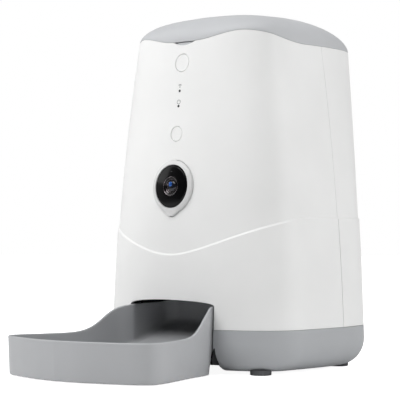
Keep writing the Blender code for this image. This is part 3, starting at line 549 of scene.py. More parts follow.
def arch_height(x):
    """The bay's upper edge: a flat arch between straight sides."""
    return BAY_SIDE_TOP + (BAY_ARCH_TOP - BAY_SIDE_TOP) * np.sqrt(
        np.maximum(1 - (np.asarray(x) / BAY_HALF_WIDTH) ** 2, 0)
    )


def edge_drop(distance):
    """How far a surface falls away at a distance from its edge, to round it."""
    near = np.clip(1 - distance / EDGE, 0.0, 1.0)
    return EDGE * (1 - np.sqrt(1 - near * near))


def shares(count, length, start=True, end=True):
    """Shares from 0 to 1, with extra steps by rounded ends of a span that long."""
    near = [EDGE * s / length for s in EDGE_STEPS]
    low = near if start else [0.0]
    high = [1 - s for s in reversed(near)] if end else [1.0]
    middle = np.linspace(low[-1], high[0], count)[1:-1]
    return np.concatenate([low, middle, high])


def front_frame(z):
    """A frame on the front centre line: local Z out of the surface, local Y up along it."""
    t = z / HEIGHT
    slope = (FRONT_REACH[1] + 2 * FRONT_REACH[2] * t) / HEIGHT
    out = Vector((0, -1, -slope)).normalized()
    right = Vector((1, 0, 0))
    up = out.cross(right)
    found = Matrix((right, up, out)).transposed().to_4x4()
    found.translation = (0, AXIS_Y - quadratic(FRONT_REACH, z), z)
    return found


def on_front(obj, z, across=0.0, along=0.0, out=0.0):
    obj.data.transform(front_frame(z) @ Matrix.Translation((across, along, out)))
    return obj


def shell_levels(low, split, direction, top, lower_rows):
    """Heights of each row of a shell's grid and how proud each stands, for columns in given directions.

    Rows run from the base seam to the split, then over the wave step to the top edge.
    """
    wave = wave_height(direction)
    under, over = wave - STEP_RISE / 2, wave + STEP_RISE / 2
    heights = [low + (split - low) * s for s in shares(lower_rows, 0.02, end=False)[:-1]]
    heights += [split + (under - split) * s for s in shares(20, 0.04, end=False)]
    proud = [np.full(direction.shape, STEP_OUT) for _ in heights]
    for s in np.linspace(0, 1, 9)[1:-1]:
        heights.append(under + (over - under) * s)
        proud.append(np.full(direction.shape, STEP_OUT * (1 - smooth(s))))
    for s in shares(46, 0.18, start=False):
        heights.append(over + (top - over) * s)
        proud.append(np.zeros(direction.shape))
    return np.array(heights), np.array(proud)


def shell_grid(heights, proud, directions, inset, to_edge=None):
    """The points of one face of a shell. to_edge gives how far each is from an edge, to round it."""
    rows = []
    for z, out in zip(heights, proud):
        turn = np.array([directions(level, inset)[j] for j, level in enumerate(z)])
        row = casing(z, turn, inset - out)
        if to_edge:
            row = casing(z, turn, inset - out + edge_drop(to_edge(z, row)))
        rows.append(row)
    return np.array(rows)


def make_front_shell():
    edge, low = SEAM_Y - SEAM_GAP / 2, BASE_SEAM + SEAM_GAP / 2
    side, middle = shares(74, 0.13), np.linspace(-1, 1, 61)[1:-1]
    lower_rows = 12

    def directions(z, inset):
        corner = direction_at_x(z, BAY_HALF_WIDTH, inset)
        out = corner + (direction_at_seam(z, inset, edge) - corner) * side
        return np.concatenate([-out[::-1], direction_at_x(z, BAY_HALF_WIDTH * middle, inset), out])

    start = directions(0.06, 0.0)
    in_bay = np.zeros(len(start), bool)
    in_bay[len(side) : len(side) + len(middle)] = True
    split = np.where(in_bay, arch_height(casing(0.06, start)[:, 0]), BAY_SIDE_TOP)
    top = rim_height(start)
    for _ in range(4):  # the columns lean, so their directions at the top come from their own heights
        at_top = np.array([directions(z, 0.0)[j] for j, z in enumerate(top)])
        top = rim_height(at_top)
    x = casing(top, at_top)[:, 0]
    radius = (NOTCH_HALF_WIDTH**2 + NOTCH_DEPTH**2) / (2 * NOTCH_DEPTH)
    scoop = np.sqrt(np.maximum(radius**2 - x**2, 0)) - (radius - NOTCH_DEPTH)
    top = top - np.where(np.abs(x) < NOTCH_HALF_WIDTH, scoop, 0.0)
    heights, proud = shell_levels(low, split, start, top, lower_rows)
    split_row = len(shares(lower_rows, 0.02, end=False)) - 1

    def to_edge(z, row):
        past = np.maximum(np.abs(row[:, 0]) - BAY_HALF_WIDTH, 0)
        to_bay = np.where(in_bay, z - split, np.hypot(np.maximum(z - BAY_SIDE_TOP, 0), past))
        return np.minimum.reduce([z - low + in_bay, to_bay, edge - row[:, 1], top - z])

    present = np.ones((len(heights) - 1, len(start) - 1), bool)
    present[:split_row, len(side) - 1 : len(side) + len(middle)] = False
    faces = [shell_grid(heights, proud, directions, *face) for face in ((0.0, to_edge), (WALL,))]
    shell = wall_between("front_casing", *faces, WHITE, present)
    drills = []
    for z, radius, depth in (
        (FEED_BUTTON_Z, FEED_BUTTON_RADIUS, 0.006),
        (PAIR_BUTTON_Z, PAIR_BUTTON_RADIUS, 0.006),
        (NETWORK_LIGHT_Z, LIGHT_RADIUS + 0.0001, 0.005),
        (POWER_LIGHT_Z, LIGHT_RADIUS + 0.0001, 0.005),
    ):
        spread = min(EDGE, radius * 0.1)
        arc = [(radius + spread * (1 - sin(a)), -spread * (1 - cos(a))) for a in QUARTER]
        profile = [(0, 0.004), (radius + spread, 0.004), *arc, (radius, -depth), (0, -depth)]
        drills.append(on_front(turned("drill", profile, None, 72), z))
    seat = outline_prism("seat", teardrop(BEZEL_RADIUS + 0.0004, BEZEL_TIP + 0.0005, 144), -0.008, 0.008)
    cut(shell, *drills, on_front(seat, CAMERA_Z))
    stands_for(crisp(shell), "white_shell", "front_shell")


def make_rear_shell():
    edge, low = SEAM_Y + SEAM_GAP / 2, BASE_SEAM + SEAM_GAP / 2
    round_back = shares(150, 0.3)

    def directions(z, inset):
        seam = direction_at_seam(z, inset, edge)
        return seam + (2 * pi - 2 * seam) * round_back

    start = directions(0.2, 0.0)
    top = rim_height(start)
    heights, proud = shell_levels(low, np.full(start.shape, BAY_SIDE_TOP), start, top, 10)

    def to_edge(z, row):
        return np.minimum.reduce([z - low, row[:, 1] - edge, top - z])

    faces = [shell_grid(heights, proud, directions, *face) for face in ((0.0, to_edge), (WALL,))]
    shell = wall_between("rear_casing", *faces, WHITE)
    bore = [(0, 0.01), (0.0064, 0.01), (0.0064, 0.0004), (0.006, 0), (0.006, -0.01), (0, -0.01)]
    cut(shell, on_rear(turned("inlet_drill", bore, None, 64), STEP_OUT))
    stands_for(crisp(shell), "white_shell", "rear_shell")


def on_rear(obj, out=0.0):
    """Sets a turned piece into the back at the inlet, its local Z pointing out."""
    y = AXIS_Y + quadratic(REAR_REACH, INLET_Z) + out
    return moved(obj, 0, y, INLET_Z, Matrix.Rotation(-pi / 2, 4, "X"))


# ---- outlines
def teardrop(radius, tip, steps, sharpness=26):
    """A circle whose lowest point is drawn down to a soft tip."""
    turns = 2 * pi * np.arange(steps) / steps
    reach = radius + (tip - radius) * np.maximum(0.0, -np.cos(turns)) ** sharpness
    return np.column_stack([reach * np.sin(turns), reach * np.cos(turns)])


def outline_prism(name, outline, low, high, finish=None):
    return lofted(name, [[(x, y, low) for x, y in outline], [(x, y, high) for x, y in outline]], finish)


# ---- base
def base_inset(z):
    drop = min(max((BASE_BOTTOM + BASE_EDGE_RISE - z) / BASE_EDGE_RISE, 0.0), 1.0)
    return BASE_EDGE_INSET * (1 - sqrt(1 - drop * drop))


def drill(name, radius, x, y, low, high, steps=48):
    return moved(turned(name, [(0, low), (radius, low), (radius, high), (0, high)], None, steps), x, y, 0)


def make_base():
    directions = 2 * pi * np.arange(220) / 220
    top, knee = BASE_SEAM - SEAM_GAP / 2, BASE_BOTTOM + BASE_EDGE_RISE
    levels = [top - EDGE * s for s in EDGE_STEPS] + list(np.linspace(top - 0.002, knee, 5))
    levels += [BASE_BOTTOM + BASE_EDGE_RISE * (1 - cos(radians(lift))) for lift in range(85, 0, -5)]
    outer, inner = [], []
    for z in levels:
        outer.append(casing(z, directions, base_inset(z) - STEP_OUT + float(edge_drop(top - z))))
        inner.append(casing(max(z, BASE_BOTTOM + WALL), directions, base_inset(z) - STEP_OUT + WALL))
    rim = casing(BASE_BOTTOM, directions, base_inset(BASE_BOTTOM) - STEP_OUT)
    pole = np.array([0.0, AXIS_Y + 0.04, BASE_BOTTOM])
    for share in (0.0, 0.15, 0.4, 0.7, 0.93, 1.0):
        outer.append(rim + (pole - rim) * share)
        inner.append(outer[-1] + np.array([0, 0, WALL]))
    base = lofted("base", outer[::-1] + inner, BASE_GREY, caps=(False, False))
    bay_back = (BAY_HALF_WIDTH, BAY_BACK + 0.0008, 0.1)
    bay = block("bay", (-BAY_HALF_WIDTH, AXIS_Y - 0.08, -0.01), bay_back)
    half, reach = BATTERY_HALF + 0.0035, BATTERY_REACH + 0.0035
    hatch = block("hatch", (-half, BATTERY_Y - reach, -0.001), (half, BATTERY_Y + reach, 0.0045))
    seat = FOOT_RADIUS + 0.0004
    feet = [drill("foot_seat", seat, x, y, -0.001, 0.0048) for _, x, y in both_sides(*FEET)]
    screws = [drill("screw_seat", 0.0034, x, y, -0.001, 0.009, 32) for _, x, y in both_sides(*PILLARS)]
    spots = [(0.0, 0.0)]
    for radius, n in ((0.0042, 6), (0.0084, 12)):
        spots += [(radius * cos(2 * pi * k / n), radius * sin(2 * pi * k / n)) for k in range(n)]
    grille = [drill("grille", 0.001, x, SPEAKER_Y + y, -0.001, 0.009, 16) for x, y in spots]
    cut(base, bay, hatch, *feet, *screws, *grille)
    stands_for(base, "grey_shell", "base_shell")


def both_sides(front, rear):
    """The four mirrored places of a pair, each with its name."""
    for end, (x, y) in (("front", front), ("rear", rear)):
        yield f"{end}_left", -x, y
        yield f"{end}_right", x, y


# ---- bowl
def bowl_rim_height(x, y):
    """High in the neck, falling in an S to the level rim round the bowl."""
    rise = 1 / (1 + np.exp((NECK_RISE_Y + AXIS_Y - y) / NECK_RISE_LENGTH))
    arch = NECK_CROWN * np.sqrt(np.maximum(0.0, 1 - (x / BOWL_PLAN[0][0]) ** 2))
    return BOWL_RIM + (BOWL_NECK_RIM - BOWL_RIM) * rise + arch * smooth((y - BOWL_BACK + 0.02) / 0.012)


def bowl_floor_height(_, y):
    ramp = RAMP_TOP + RAMP_SLOPE * (y - BOWL_BACK)
    sharpness = 0.004
    return BOWL_FLOOR + sharpness * np.log1p(np.exp((ramp - BOWL_FLOOR) / sharpness))


def catmull(points, per_span):
    """A smooth line through the points."""
    padded = np.array([points[0], *points, points[-1]])
    line = []
    for p0, p1, p2, p3 in zip(padded, padded[1:], padded[2:], padded[3:]):
        for t in np.arange(per_span) / per_span:
            bend = (2 * p0 - 5 * p1 + 4 * p2 - p3) * t**2
            twist = (3 * p1 - p0 - 3 * p2 + p3) * t**3
            line.append(0.5 * (2 * p1 + (p2 - p0) * t + bend + twist))
    return [*line, padded[-1]]


def bowl_outline():
    """The whole rim in plan, as (x, y from the widest line), with its inward normals."""
    back = BOWL_BACK - AXIS_Y
    corner, crown = 0.015, 0.001
    half = BOWL_PLAN[0][0]
    edge = [(half * s, back - crown * s * s) for s in np.linspace(0, (half - corner) / half, 10)[:-1]]
    rounded = [
        (half - corner + corner * sin(radians(a)), back - crown - corner + corner * cos(radians(a)))
        for a in range(0, 91, 6)
    ]
    straight = [(half, y) for y in np.linspace(rounded[-1][1], BOWL_PLAN[0][1], 8)[1:-1]]
    right = [np.array(p) for p in edge + rounded + straight] + catmull(BOWL_PLAN, 9)
    full = np.array(right + [np.array((-x, y)) for x, y in right[-2:0:-1]])
    tangent = np.roll(full, -1, 0) - np.roll(full, 1, 0)
    inward = np.stack([tangent[:, 1], -tangent[:, 0]], 1)
    return full, inward / np.linalg.norm(inward, axis=1)[:, None]


def make_bowl():
    full, inward = bowl_outline()

    def loop(inset, z, lift=0.0):
        flat = full + inward * inset
        x, y = flat[:, 0], flat[:, 1] + AXIS_Y
        height = z(x, y) if callable(z) else np.full(len(full), z)
        return np.column_stack([x, y, height + lift])

    draft, foot, fillet, radius = 0.0012, 0.0012, 0.0046, BOWL_WALL / 2
    inner_draft = BOWL_WALL + 0.55 * draft
    quarter = [radians(a) for a in range(0, 91, 15)]
    base = BOWL_BOTTOM + foot
    rings = [loop(draft + foot * (1 - sin(a)), BOWL_BOTTOM + foot * (1 - cos(a))) for a in quarter]
    rise = bowl_rim_height(full[:, 0], full[:, 1] + AXIS_Y) - base - radius
    rings += [loop(draft * (1 - s), base + rise * s) for s in np.linspace(0, 1, 16)[1:-1]]
    for a in [-a for a in quarter[:0:-1]] + quarter:
        rings.append(loop(radius + radius * sin(a), bowl_rim_height, radius * cos(a) - radius))
    lip = rings[-1][:, 2]
    low = loop(inner_draft, bowl_floor_height)[:, 2] + fillet
    for s in np.linspace(0, 1, 12)[1:-1]:
        rings.append(loop(BOWL_WALL + (inner_draft - BOWL_WALL) * s, lip + (low - lip) * s))
    for a in quarter:
        rings.append(loop(inner_draft + fillet * (1 - cos(a)), bowl_floor_height, fillet * (1 - sin(a))))
    start = rings[-1]
    spine_y = np.clip(full[:, 1], -0.105, BOWL_BACK - AXIS_Y - 0.02) + AXIS_Y
    for s in np.linspace(0, 1, 14)[1:]:
        flat = np.column_stack([start[:, 0] * (1 - s), start[:, 1] + (spine_y - start[:, 1]) * s])
        rings.append(np.column_stack([flat, bowl_floor_height(*flat.T)]))
    bowl = lofted("bowl_shell", rings, BOWL_GREY, caps=(True, False), angle=60.0)

    def roof(y, under):
        return y, float(bowl_floor_height(0.0, y)) - under

    below, behind = -0.001, BOWL_BACK + 0.005
    low_y, high_y = (AXIS_Y + y for y in NECK_UNDERCUT)
    neck = [(behind, below), (low_y, below), (low_y, BOWL_BOTTOM), roof(high_y, 0.0028), roof(behind, 0.0028)]
    front, back = BOWL_BACK - 0.08, high_y - 0.001
    pocket = [(front, below), (back, below), roof(back, 0.0032), roof(front, 0.0032)]
    cut(bowl, slab("neck_cutter", -0.06, 0.06, neck), slab("pocket_cutter", -0.0375, 0.0375, pocket))
    shade(bowl.data, 50.0)
    stands_for(bowl, "bowl_grey", "bowl", body="bowl")


def slab(name, left, right, profile, finish=None):
    """A profile of (y, z) points drawn out along X."""
    return lofted(name, [[(x, y, z) for y, z in profile] for x in (left, right)], finish)


def make_bay_liner():
    """The black tunnel the bowl slides into, whose cheeks show where the base rounds away below."""
    half, wall = BAY_HALF_WIDTH, 0.0014
    side, roof, front = half + wall, BAY_ARCH_TOP + 0.0014, AXIS_Y - 0.0335
    tunnel = block("bay_tunnel", (-side, front, LINER_BOTTOM), (side, BAY_BACK + wall, roof + wall), BLACK)
    hollow = block("tunnel_hollow", (-half, front - 0.03, -0.01), (half, BAY_BACK, roof))
    far = (0.0168, AXIS_Y - 0.007, roof + 0.005)
    cut(tunnel, hollow, block("tunnel_outlet", (-0.0168, front + 0.0005, roof - 0.005), far))
    stands_for(tunnel, "black_plastic", "bay_liner")
    profile = [(front + 0.001, LINER_BOTTOM), (AXIS_Y - 0.0506, LINER_BOTTOM), (AXIS_Y - 0.0506, 0.013)]
    profile += [(AXIS_Y - 0.048, 0.0215), (AXIS_Y - 0.0455, 0.03), (front + 0.001, 0.03)]
    for name, sign in (("left", -1), ("right", 1)):
        cheek = slab(f"bay_cheek_{name}", sign * (half + 0.0001), sign * side, profile, BLACK)
        stands_for(cheek, "black_plastic", "bay_liner")


# ---- lid
def make_finger_tab():
    """The lip a finger lifts the lid by: it stands out from the skirt, a slit below the lid's edge."""
    half, recess, thick, drop = 0.008, 0.0007, 0.0025, 0.0026
    across = half * np.linspace(-1, 1, 25)
    top = np.full(across.shape, RIM_FRONT - 0.0007)
    low = top - drop * np.sqrt(np.maximum(0.0, 1 - (across / (half * 1.02)) ** 2)) ** 0.6
    outline = np.concatenate([np.column_stack([across, top]), np.column_stack([across, low])[::-1]])
    angles = direction_at_x(outline[:, 1], outline[:, 0], recess)
    rows = [casing(outline[:, 1], angles, inset) for inset in (recess, recess + thick)]
    stands_for(lofted("lid_finger_tab", rows, LID_GREY), "lid_grey", "lid_shell", body="lid")


def make_lid():
    directions = 2 * pi * np.arange(300) / 300
    rim = rim_height(directions) + 0.00015
    pole = np.array(LID_POLE)

    def ring(inset, z):
        return np.column_stack([casing(rim, directions, inset)[:, :2], np.full(len(rim), z)])

    def dome_ring(lift, inset=0.0, lower=0.0):
        share = sin(radians(lift))
        rise = max(0.0, 1 - share**DOME_FULLNESS) ** DOME_POWER
        arm = casing(rim, directions, inset)[:, :2] - pole
        reach = np.linalg.norm(arm, axis=1)
        evened = 1 + (reach.mean() / reach - 1) * DOME_EVENNESS * (1 - share)
        height = rim + (HEIGHT - lower - rim) * rise
        return np.column_stack([pole + share * arm * evened[:, None], height])

    lifts = (0.0, 4, 9, 15, 22, 29, 35, 41, 47, 53, 58, 63, 67.5, 71.5, 75, 78, 80.5, 83, 85, 87, 88.3, 89.3)
    rings = [dome_ring(lift) for lift in lifts]
    radius = EDGE / 2
    for a in range(0, 91, 15):
        rings.append(ring(radius * (1 - cos(radians(a))), rim + radius * (1 - sin(radians(a)))))
    out, inside, low = 0.0031, 0.0048, 0.2772
    rings += [ring(out, rim), ring(out, rim - 0.0008), ring(out + 0.0001, (rim + low) / 2)]
    rings += [ring(out + 0.0002, low + 0.0005), ring(out + 0.0006, low), ring(inside - 0.0004, low)]
    rings += [ring(inside, low + 0.0005), ring(inside, rim - 0.0005)]
    rings += [dome_ring(lift, inside, LID_WALL) for lift in (84, 78, 66, 50, 30, 12, 0.0)]
    make_finger_tab()
    lid = lofted("lid_dome", rings, LID_GREY, caps=(False, False), angle=50.0)
    stands_for(lid, "lid_grey", "lid_shell", body="lid")


# ---- food path
def eased(rings, share, steps=5, closed=True):
    """The rings with every corner between them rounded over a share of the way to the next."""
    rounded = [] if closed else [rings[0]]
    for k in range(0 if closed else 1, len(rings) if closed else len(rings) - 1):
        before, here, after = rings[k - 1], rings[k], rings[(k + 1) % len(rings)]
        start, end = here + (before - here) * share, here + (after - here) * share
        for t in np.linspace(0, 1, steps):
            rounded.append((1 - t) ** 2 * start + 2 * t * (1 - t) * here + t * t * end)
    return rounded if closed else rounded + [rings[-1]]


def round_ring(radius, z, count=168):
    turns = 2 * pi * np.arange(count) / count
    return np.column_stack([radius * np.sin(turns), ROTOR_Y - radius * np.cos(turns), np.full(count, z)])


def make_hopper():
    wall, outer, low = 0.0022, CHAMBER_RADIUS + CHAMBER_WALL, CHAMBER_TOP + 0.0003
    rings = [
        lining(HOPPER_TOP, 0.004, 0.0064, 0.004),
        lining(HOPPER_TOP - 0.002, 0.004, 0.0064, 0.004),
        lining(HOPPER_TOP - 0.002, 0.0065, 0.0105, 0.0065),
        lining(HOPPER_KNEE, 0.008, 0.0235, 0.01),
        round_ring(outer, 0.139),
        round_ring(outer, low),
        round_ring(CHAMBER_RADIUS, low),
        round_ring(CHAMBER_RADIUS, 0.14),
        lining(HOPPER_KNEE + 0.001, 0.008 + wall, 0.0235 + wall, 0.01 + wall),
        lining(HOPPER_TOP, 0.0065 + wall, 0.0105 + wall, 0.0065 + wall),
    ]
    bin_wall = lofted("hopper_bin", eased(rings, 0.2), FROSTED, closed=True, angle=50.0)
    stands_for(bin_wall, "hopper_plastic", "hopper")
    floor_top, bore = CHAMBER_FLOOR + 0.0024, 0.0046
    profile = [(outer, CHAMBER_TOP), (outer, CHAMBER_FLOOR + 0.0008), (outer - 0.0008, CHAMBER_FLOOR)]
    profile += [(bore, CHAMBER_FLOOR), (bore, floor_top), (CHAMBER_RADIUS - 0.0015, floor_top)]
    profile += [(CHAMBER_RADIUS - 0.0005, floor_top + 0.0004), (CHAMBER_RADIUS, floor_top + 0.0015)]
    profile += [(CHAMBER_RADIUS, CHAMBER_TOP)]
    chamber = moved(turned("rotor_chamber", profile, FROSTED, 144, closed=True), 0, ROTOR_Y, 0)
    near = (-0.0142, AXIS_Y - 0.0122, CHAMBER_FLOOR - 0.004)
    far = (0.0142, AXIS_Y + 0.002, CHAMBER_FLOOR + 0.004)
    cut(chamber, block("outlet", near, far))
    stands_for(chamber, "hopper_plastic", "rotor_housing")


def make_rotor():
    """Six soft vanes with thickened tips round a hub, under a polished cap."""
    low, high, bore, hub, thick = CHAMBER_FLOOR + 0.0034, 0.13, 0.0043, 0.0095, 0.0012
    shoulder, tip = ROTOR_RADIUS - 0.0014, ROTOR_RADIUS - 0.0012
    outline = []
    for vane in range(6):
        turn = pi * (vane + 0.5) / 3
        along = np.array((cos(turn), sin(turn)))
        across = thick * np.array((-sin(turn), cos(turn)))
        outline += [along * hub - across, along * shoulder - across]
        for a in np.radians(np.linspace(-90, 90, 9)):
            outline.append(along * (tip + 0.0012 * cos(a)) + across * sin(a))
        outline += [along * shoulder + across, along * hub + across]
        for b in turn + pi * np.linspace(0.2, 0.8, 9) / 3:
            outline.append(hub * np.array((cos(b), sin(b))))
    rotor = outline_prism("rotor_vanes", outline, low, high, SILICONE)
    cut(rotor, drill("rotor_bore", bore, 0.0, 0.0, low - 0.01, high + 0.01))
    stands_for(moved(rotor, 0, ROTOR_Y, 0), "silicone", "impeller", body="rotor")
    cap = [(0, 0.1345), (0.0018, 0.1344), (0.0036, 0.1342), (0.0054, 0.1337), (0.0068, 0.133)]
    cap += [(0.0076, 0.132), (0.0078, 0.1312), (0.0078, 0.1303), (0.004, 0.1303), (0.004, 0.0888)]
    cap += [(0.0037, 0.0885), (0, 0.0885)]
    shaft = moved(turned("rotor_cap", cap, METAL, 72), 0, ROTOR_Y, 0)
    stands_for(shaft, "bright_metal", "rotor_shaft", body="rotor")


def make_lid_fittings():
    plug = LID_PLUG_LOW
    form = [
        (plug, 0.013, 0.017, 0.013),
        (plug, 0.0118, 0.0158, 0.0118),
        (LID_FLANGE_LOW, 0.01, 0.014, 0.01),
        (LID_FLANGE_LOW, 0.0064, 0.0064, 0.0064),
        (LID_FLANGE_TOP, 0.0064, 0.0064, 0.0064),
        (LID_FLANGE_TOP, 0.012, 0.016, 0.012),
        (plug + 0.002, 0.0138, 0.0178, 0.0138),
    ]
    rings = [lining(*ring) for ring in form]
    plate = lofted("lid_plug", eased(rings, 0.15, closed=False), FROSTED, angle=50.0)
    stands_for(plate, "hopper_plastic", "lid_liner", body="lid")
    low, high, outer, inner = 0.2724, 0.2745, 0.0068, 0.008
    middle, centre = (low + high) / 2, (outer + inner) / 2
    lip = [(low, centre), (middle, outer), (high, outer), (high, inner), (middle, inner)]
    seal = [lining(z, inset, inset, inset) for z, inset in lip]
    gasket = lofted("lid_gasket", eased(seal, 0.3), SILICONE, closed=True, angle=60.0)
    stands_for(gasket, "silicone", "lid_seal", body="lid")
    near, far = (-0.03, AXIS_Y + 0.025, plug - 0.011), (0.03, AXIS_Y + 0.065, plug - 0.0003)
    box = block("desiccant_tray", near, far, FROSTED, bevel=0.0024, segments=4)
    slots = []
    for x in 0.0056 * np.arange(-4, 5):
        near, far = (x - 0.001, AXIS_Y + 0.031, plug - 0.012), (x + 0.001, AXIS_Y + 0.059, plug - 0.0096)
        slots.append(block("slot", near, far))
    cut(box, *slots)
    stands_for(box, "hopper_plastic", "desiccant_box", body="lid")


# ---- front panel
def front_piece(
    name, profile, finish, z, slot, *nodes, steps=96, angle=38.0, closed=False, body="housing", at=()
):
    """A turned piece set into the front at height z and moved by at in the frame there."""
    piece = on_front(turned(name, profile, finish, steps, closed, angle), z, *at)
    stands_for(piece, slot, *nodes, body=body)


def make_button(name, body, z, radius, node):
    cap, sunk, dish = radius - 0.00042, 0.00016, 0.00022
    profile = [(cap * s, -sunk - dish * (1 - s * s)) for s in (0.0, 0.15, 0.35, 0.55, 0.75, 0.88)]
    profile += [(cap - EDGE * (1 - sin(a)), -sunk - EDGE * (1 - cos(a)) * 0.8) for a in QUARTER]
    profile += [(cap, -0.0034), (0.0024, -0.0034), (0.0024, -0.0052), (0, -0.0052)]
    front_piece(name, profile, WHITE, z, "white_shell", node, angle=70.0, body=body)


def arc_band(centre, inner, outer, start, end, steps):
    """A flat band between two radii, as a closed outline; angles in degrees from +X."""
    turns = np.radians(np.linspace(start, end, steps + 1))
    arc = np.column_stack([np.cos(turns), np.sin(turns)])
    return [*(centre + outer * arc), *(centre + inner * arc[::-1])]


def print_on_front(name, outlines, z):
    """Ink lifted a hair off the front, one prism to each outline."""
    points, faces = [], []
    for outline in outlines:
        start, count = len(points), len(outline)
        points += [(x, y, level) for level in (-0.00004, 0.00002) for x, y in outline]
        for k in range(count):
            j = (k + 1) % count
            faces.append((start + k, start + j, start + count + j, start + count + k))
        for k in range(count // 2 - 1):
            quad = (k, k + 1, count - 2 - k, count - 1 - k)
            faces.append(tuple(start + count + i for i in quad))
            faces.append(tuple(start + i for i in reversed(quad)))
    stands_for(on_front(from_faces(name, points, faces, PRINT), z), "grey_shell")


def make_front_panel():
    make_button("feed_button_cap", "feed_button", FEED_BUTTON_Z, FEED_BUTTON_RADIUS, "feed_button")
    make_button("pair_button_cap", "pair_button", PAIR_BUTTON_Z, PAIR_BUTTON_RADIUS, "pair_button")
    lens = [*dome(LIGHT_RADIUS, 0.0002, 6, 0.0001), (LIGHT_RADIUS, -0.0072), (0, -0.0072)]
    for node, z in (("network_light", NETWORK_LIGHT_Z), ("power_light", POWER_LIGHT_Z)):
        front_piece(f"{node}_lens", lens, SMOKED, z, "hopper_plastic", node, steps=32)
    foot = (0.0, -0.0012)
    waves = [arc_band(foot, 0.0, 0.0005, 0, 360, 20)]
    waves += [arc_band(foot, r - 0.00024, r + 0.00024, 42, 138, 16) for r in (0.0014, 0.0024)]
    print_on_front("network_icon", waves, NETWORK_ICON_Z)
    ring = arc_band((0, 0), 0.00158, 0.00204, -240, 60, 36)
    bar = [(-0.00023, 0.0006), (0.00023, 0.0006), (0.00023, 0.0024), (-0.00023, 0.0024)]
    print_on_front("power_icon", [ring, bar], POWER_ICON_Z)


# ---- camera module
def make_bezel():
    """Rings of points between the glass and the teardrop: (share of the way out, inset, height)."""
    steps, lip = 160, CAMERA_RADIUS + 0.0003
    turns = 2 * pi * np.arange(steps) / steps
    inner = lip * np.column_stack([np.sin(turns), np.cos(turns)])
    profile = [(1.0, 0.0, -0.0034), (1.0, 0.0, 0.0008), (1.0, 0.00018, 0.00135), (1.0, 0.0007, 0.00165)]
    profile += [(1.0, 0.0014, 0.00172), (0.62, 0.0, 0.00185), (0.34, 0.0, 0.00195), (0.2, 0.0, 0.00225)]
    profile += [(0.11, 0.0, 0.00238), (0.04, 0.0, 0.00232), (0.0, 0.0, 0.002), (0.0, 0.0, -0.0034)]
    rings = []
    for share, inset, z in profile:
        outer = teardrop(BEZEL_RADIUS - inset, BEZEL_TIP - inset * 1.3, steps)
        rings.append(np.column_stack([inner + (outer - inner) * share, np.full(steps, z)]))
    bezel = on_front(lofted("camera_surround", rings, BEZEL, closed=True, angle=45.0), CAMERA_Z)
    stands_for(bezel, "white_shell", "camera_bezel")


def make_camera_module():
    make_bezel()
    rim, rise, bore = CAMERA_RADIUS, 0.0016, LENS_RADIUS + 0.0002

    def crown(radius):
        return 0.002 + rise * (1 - (radius / rim) ** 2)

    face = [(rim, -0.0004), (rim, 0.0016), (rim - 0.0002, 0.0021), (rim - 0.0009, 0.0023)]
    face += [(rim - 0.0011, 0.002)]
    face += [(radius, crown(radius)) for radius in np.linspace(rim - 0.0013, bore, 22)]
    face += [(bore, -0.0004)]
    window = {"steps": 160, "closed": True, "angle": 45.0}
    front_piece("camera_window", face, GLOSS, CAMERA_Z, "black_gloss", "camera_glass", **window)

    top, edge = 0.0034, LENS_RADIUS
    barrel = [(0, -0.009), (edge, -0.009), (edge, top - 0.0003), (edge - 0.0002, top), (edge - 0.0007, top)]
    barrel += [(edge - 0.0009, top - 0.0003), (0.0064, top - 0.001), (0.0062, top - 0.0007)]
    barrel += [(0.0056, top - 0.0007), (0.0054, top - 0.001), (0.0049, top - 0.0014)]
    barrel += [(0.0047, top - 0.002), (0, top - 0.002)]
    front_piece(
        "lens_mount", barrel, GLOSS, CAMERA_Z, "black_plastic", "lens_barrel", steps=128, angle=30.0
    )
    for name, outer, width, height in (
        ("outer", edge - 0.0004, 0.0005, top),
        ("middle", 0.0062, 0.0006, top - 0.0007),
        ("inner", 0.005, 0.0004, top - 0.0013),
    ):
        band = [(outer, height - 0.0002), (outer - width / 3, height + 0.0001)]
        band += [(outer - width, height - 0.0002), (outer - width / 2, height - 0.0005)]
        ring = {"steps": 128, "closed": True, "angle": 60.0}
        front_piece(f"lens_ring_{name}", band, IRIS, CAMERA_Z, "black_plastic", **ring)
    radius, bulge, low = 0.0045, 0.0012, top - 0.0019
    lens = [*dome(radius, bulge, 14, low), (radius, low - 0.0004), (0, low - 0.0004)]
    front_piece("lens_element", lens, GLASS, CAMERA_Z, "lens_glass", "lens_glass", angle=60.0)
    # Painted reflection: a small blue metallic disc set off-centre, up and to the left on the lens element,
    # stands for the coating's glint. The coating's blue is real, but the glint's place is painted.
    glint, place = [*dome(0.0021, 0.0004, 8), (0, -0.0002)], (-0.0008, 0.0018, low + bulge * 0.84)
    front_piece("lens_painted_glint", glint, LENS, CAMERA_Z, "lens_glass", steps=48, angle=60.0, at=place)
    spot, height = [*dome(0.00042, 0.0001, 5), (0, -0.0004)], 0.0126
    place = (0.0, height, crown(height))
    front_piece("status_light", spot, SMOKED, CAMERA_Z, "hopper_plastic", steps=24, at=place)


# ---- underside and rear
def make_feet():
    radius = FOOT_RADIUS
    profile = [(0, 0.0046), (radius, 0.0046), (radius, 0.0009), (radius - 0.0002, 0.0004)]
    profile += [(radius - 0.0006, 0.0001), (radius - 0.001, 0.0)]
    for groove in (0.0066, 0.005, 0.0034):
        profile += [(groove + 0.0004, 0.0), (groove + 0.0002, 0.0003)]
        profile += [(groove - 0.0002, 0.0003), (groove - 0.0004, 0.0)]
    profile += [(0, 0.0)]
    for name, x, y in both_sides(*FEET):
        foot = moved(turned(f"foot_pad_{name}", profile, RUBBER, 72), x, y, 0)
        stands_for(foot, "rubber", f"foot_{name}")


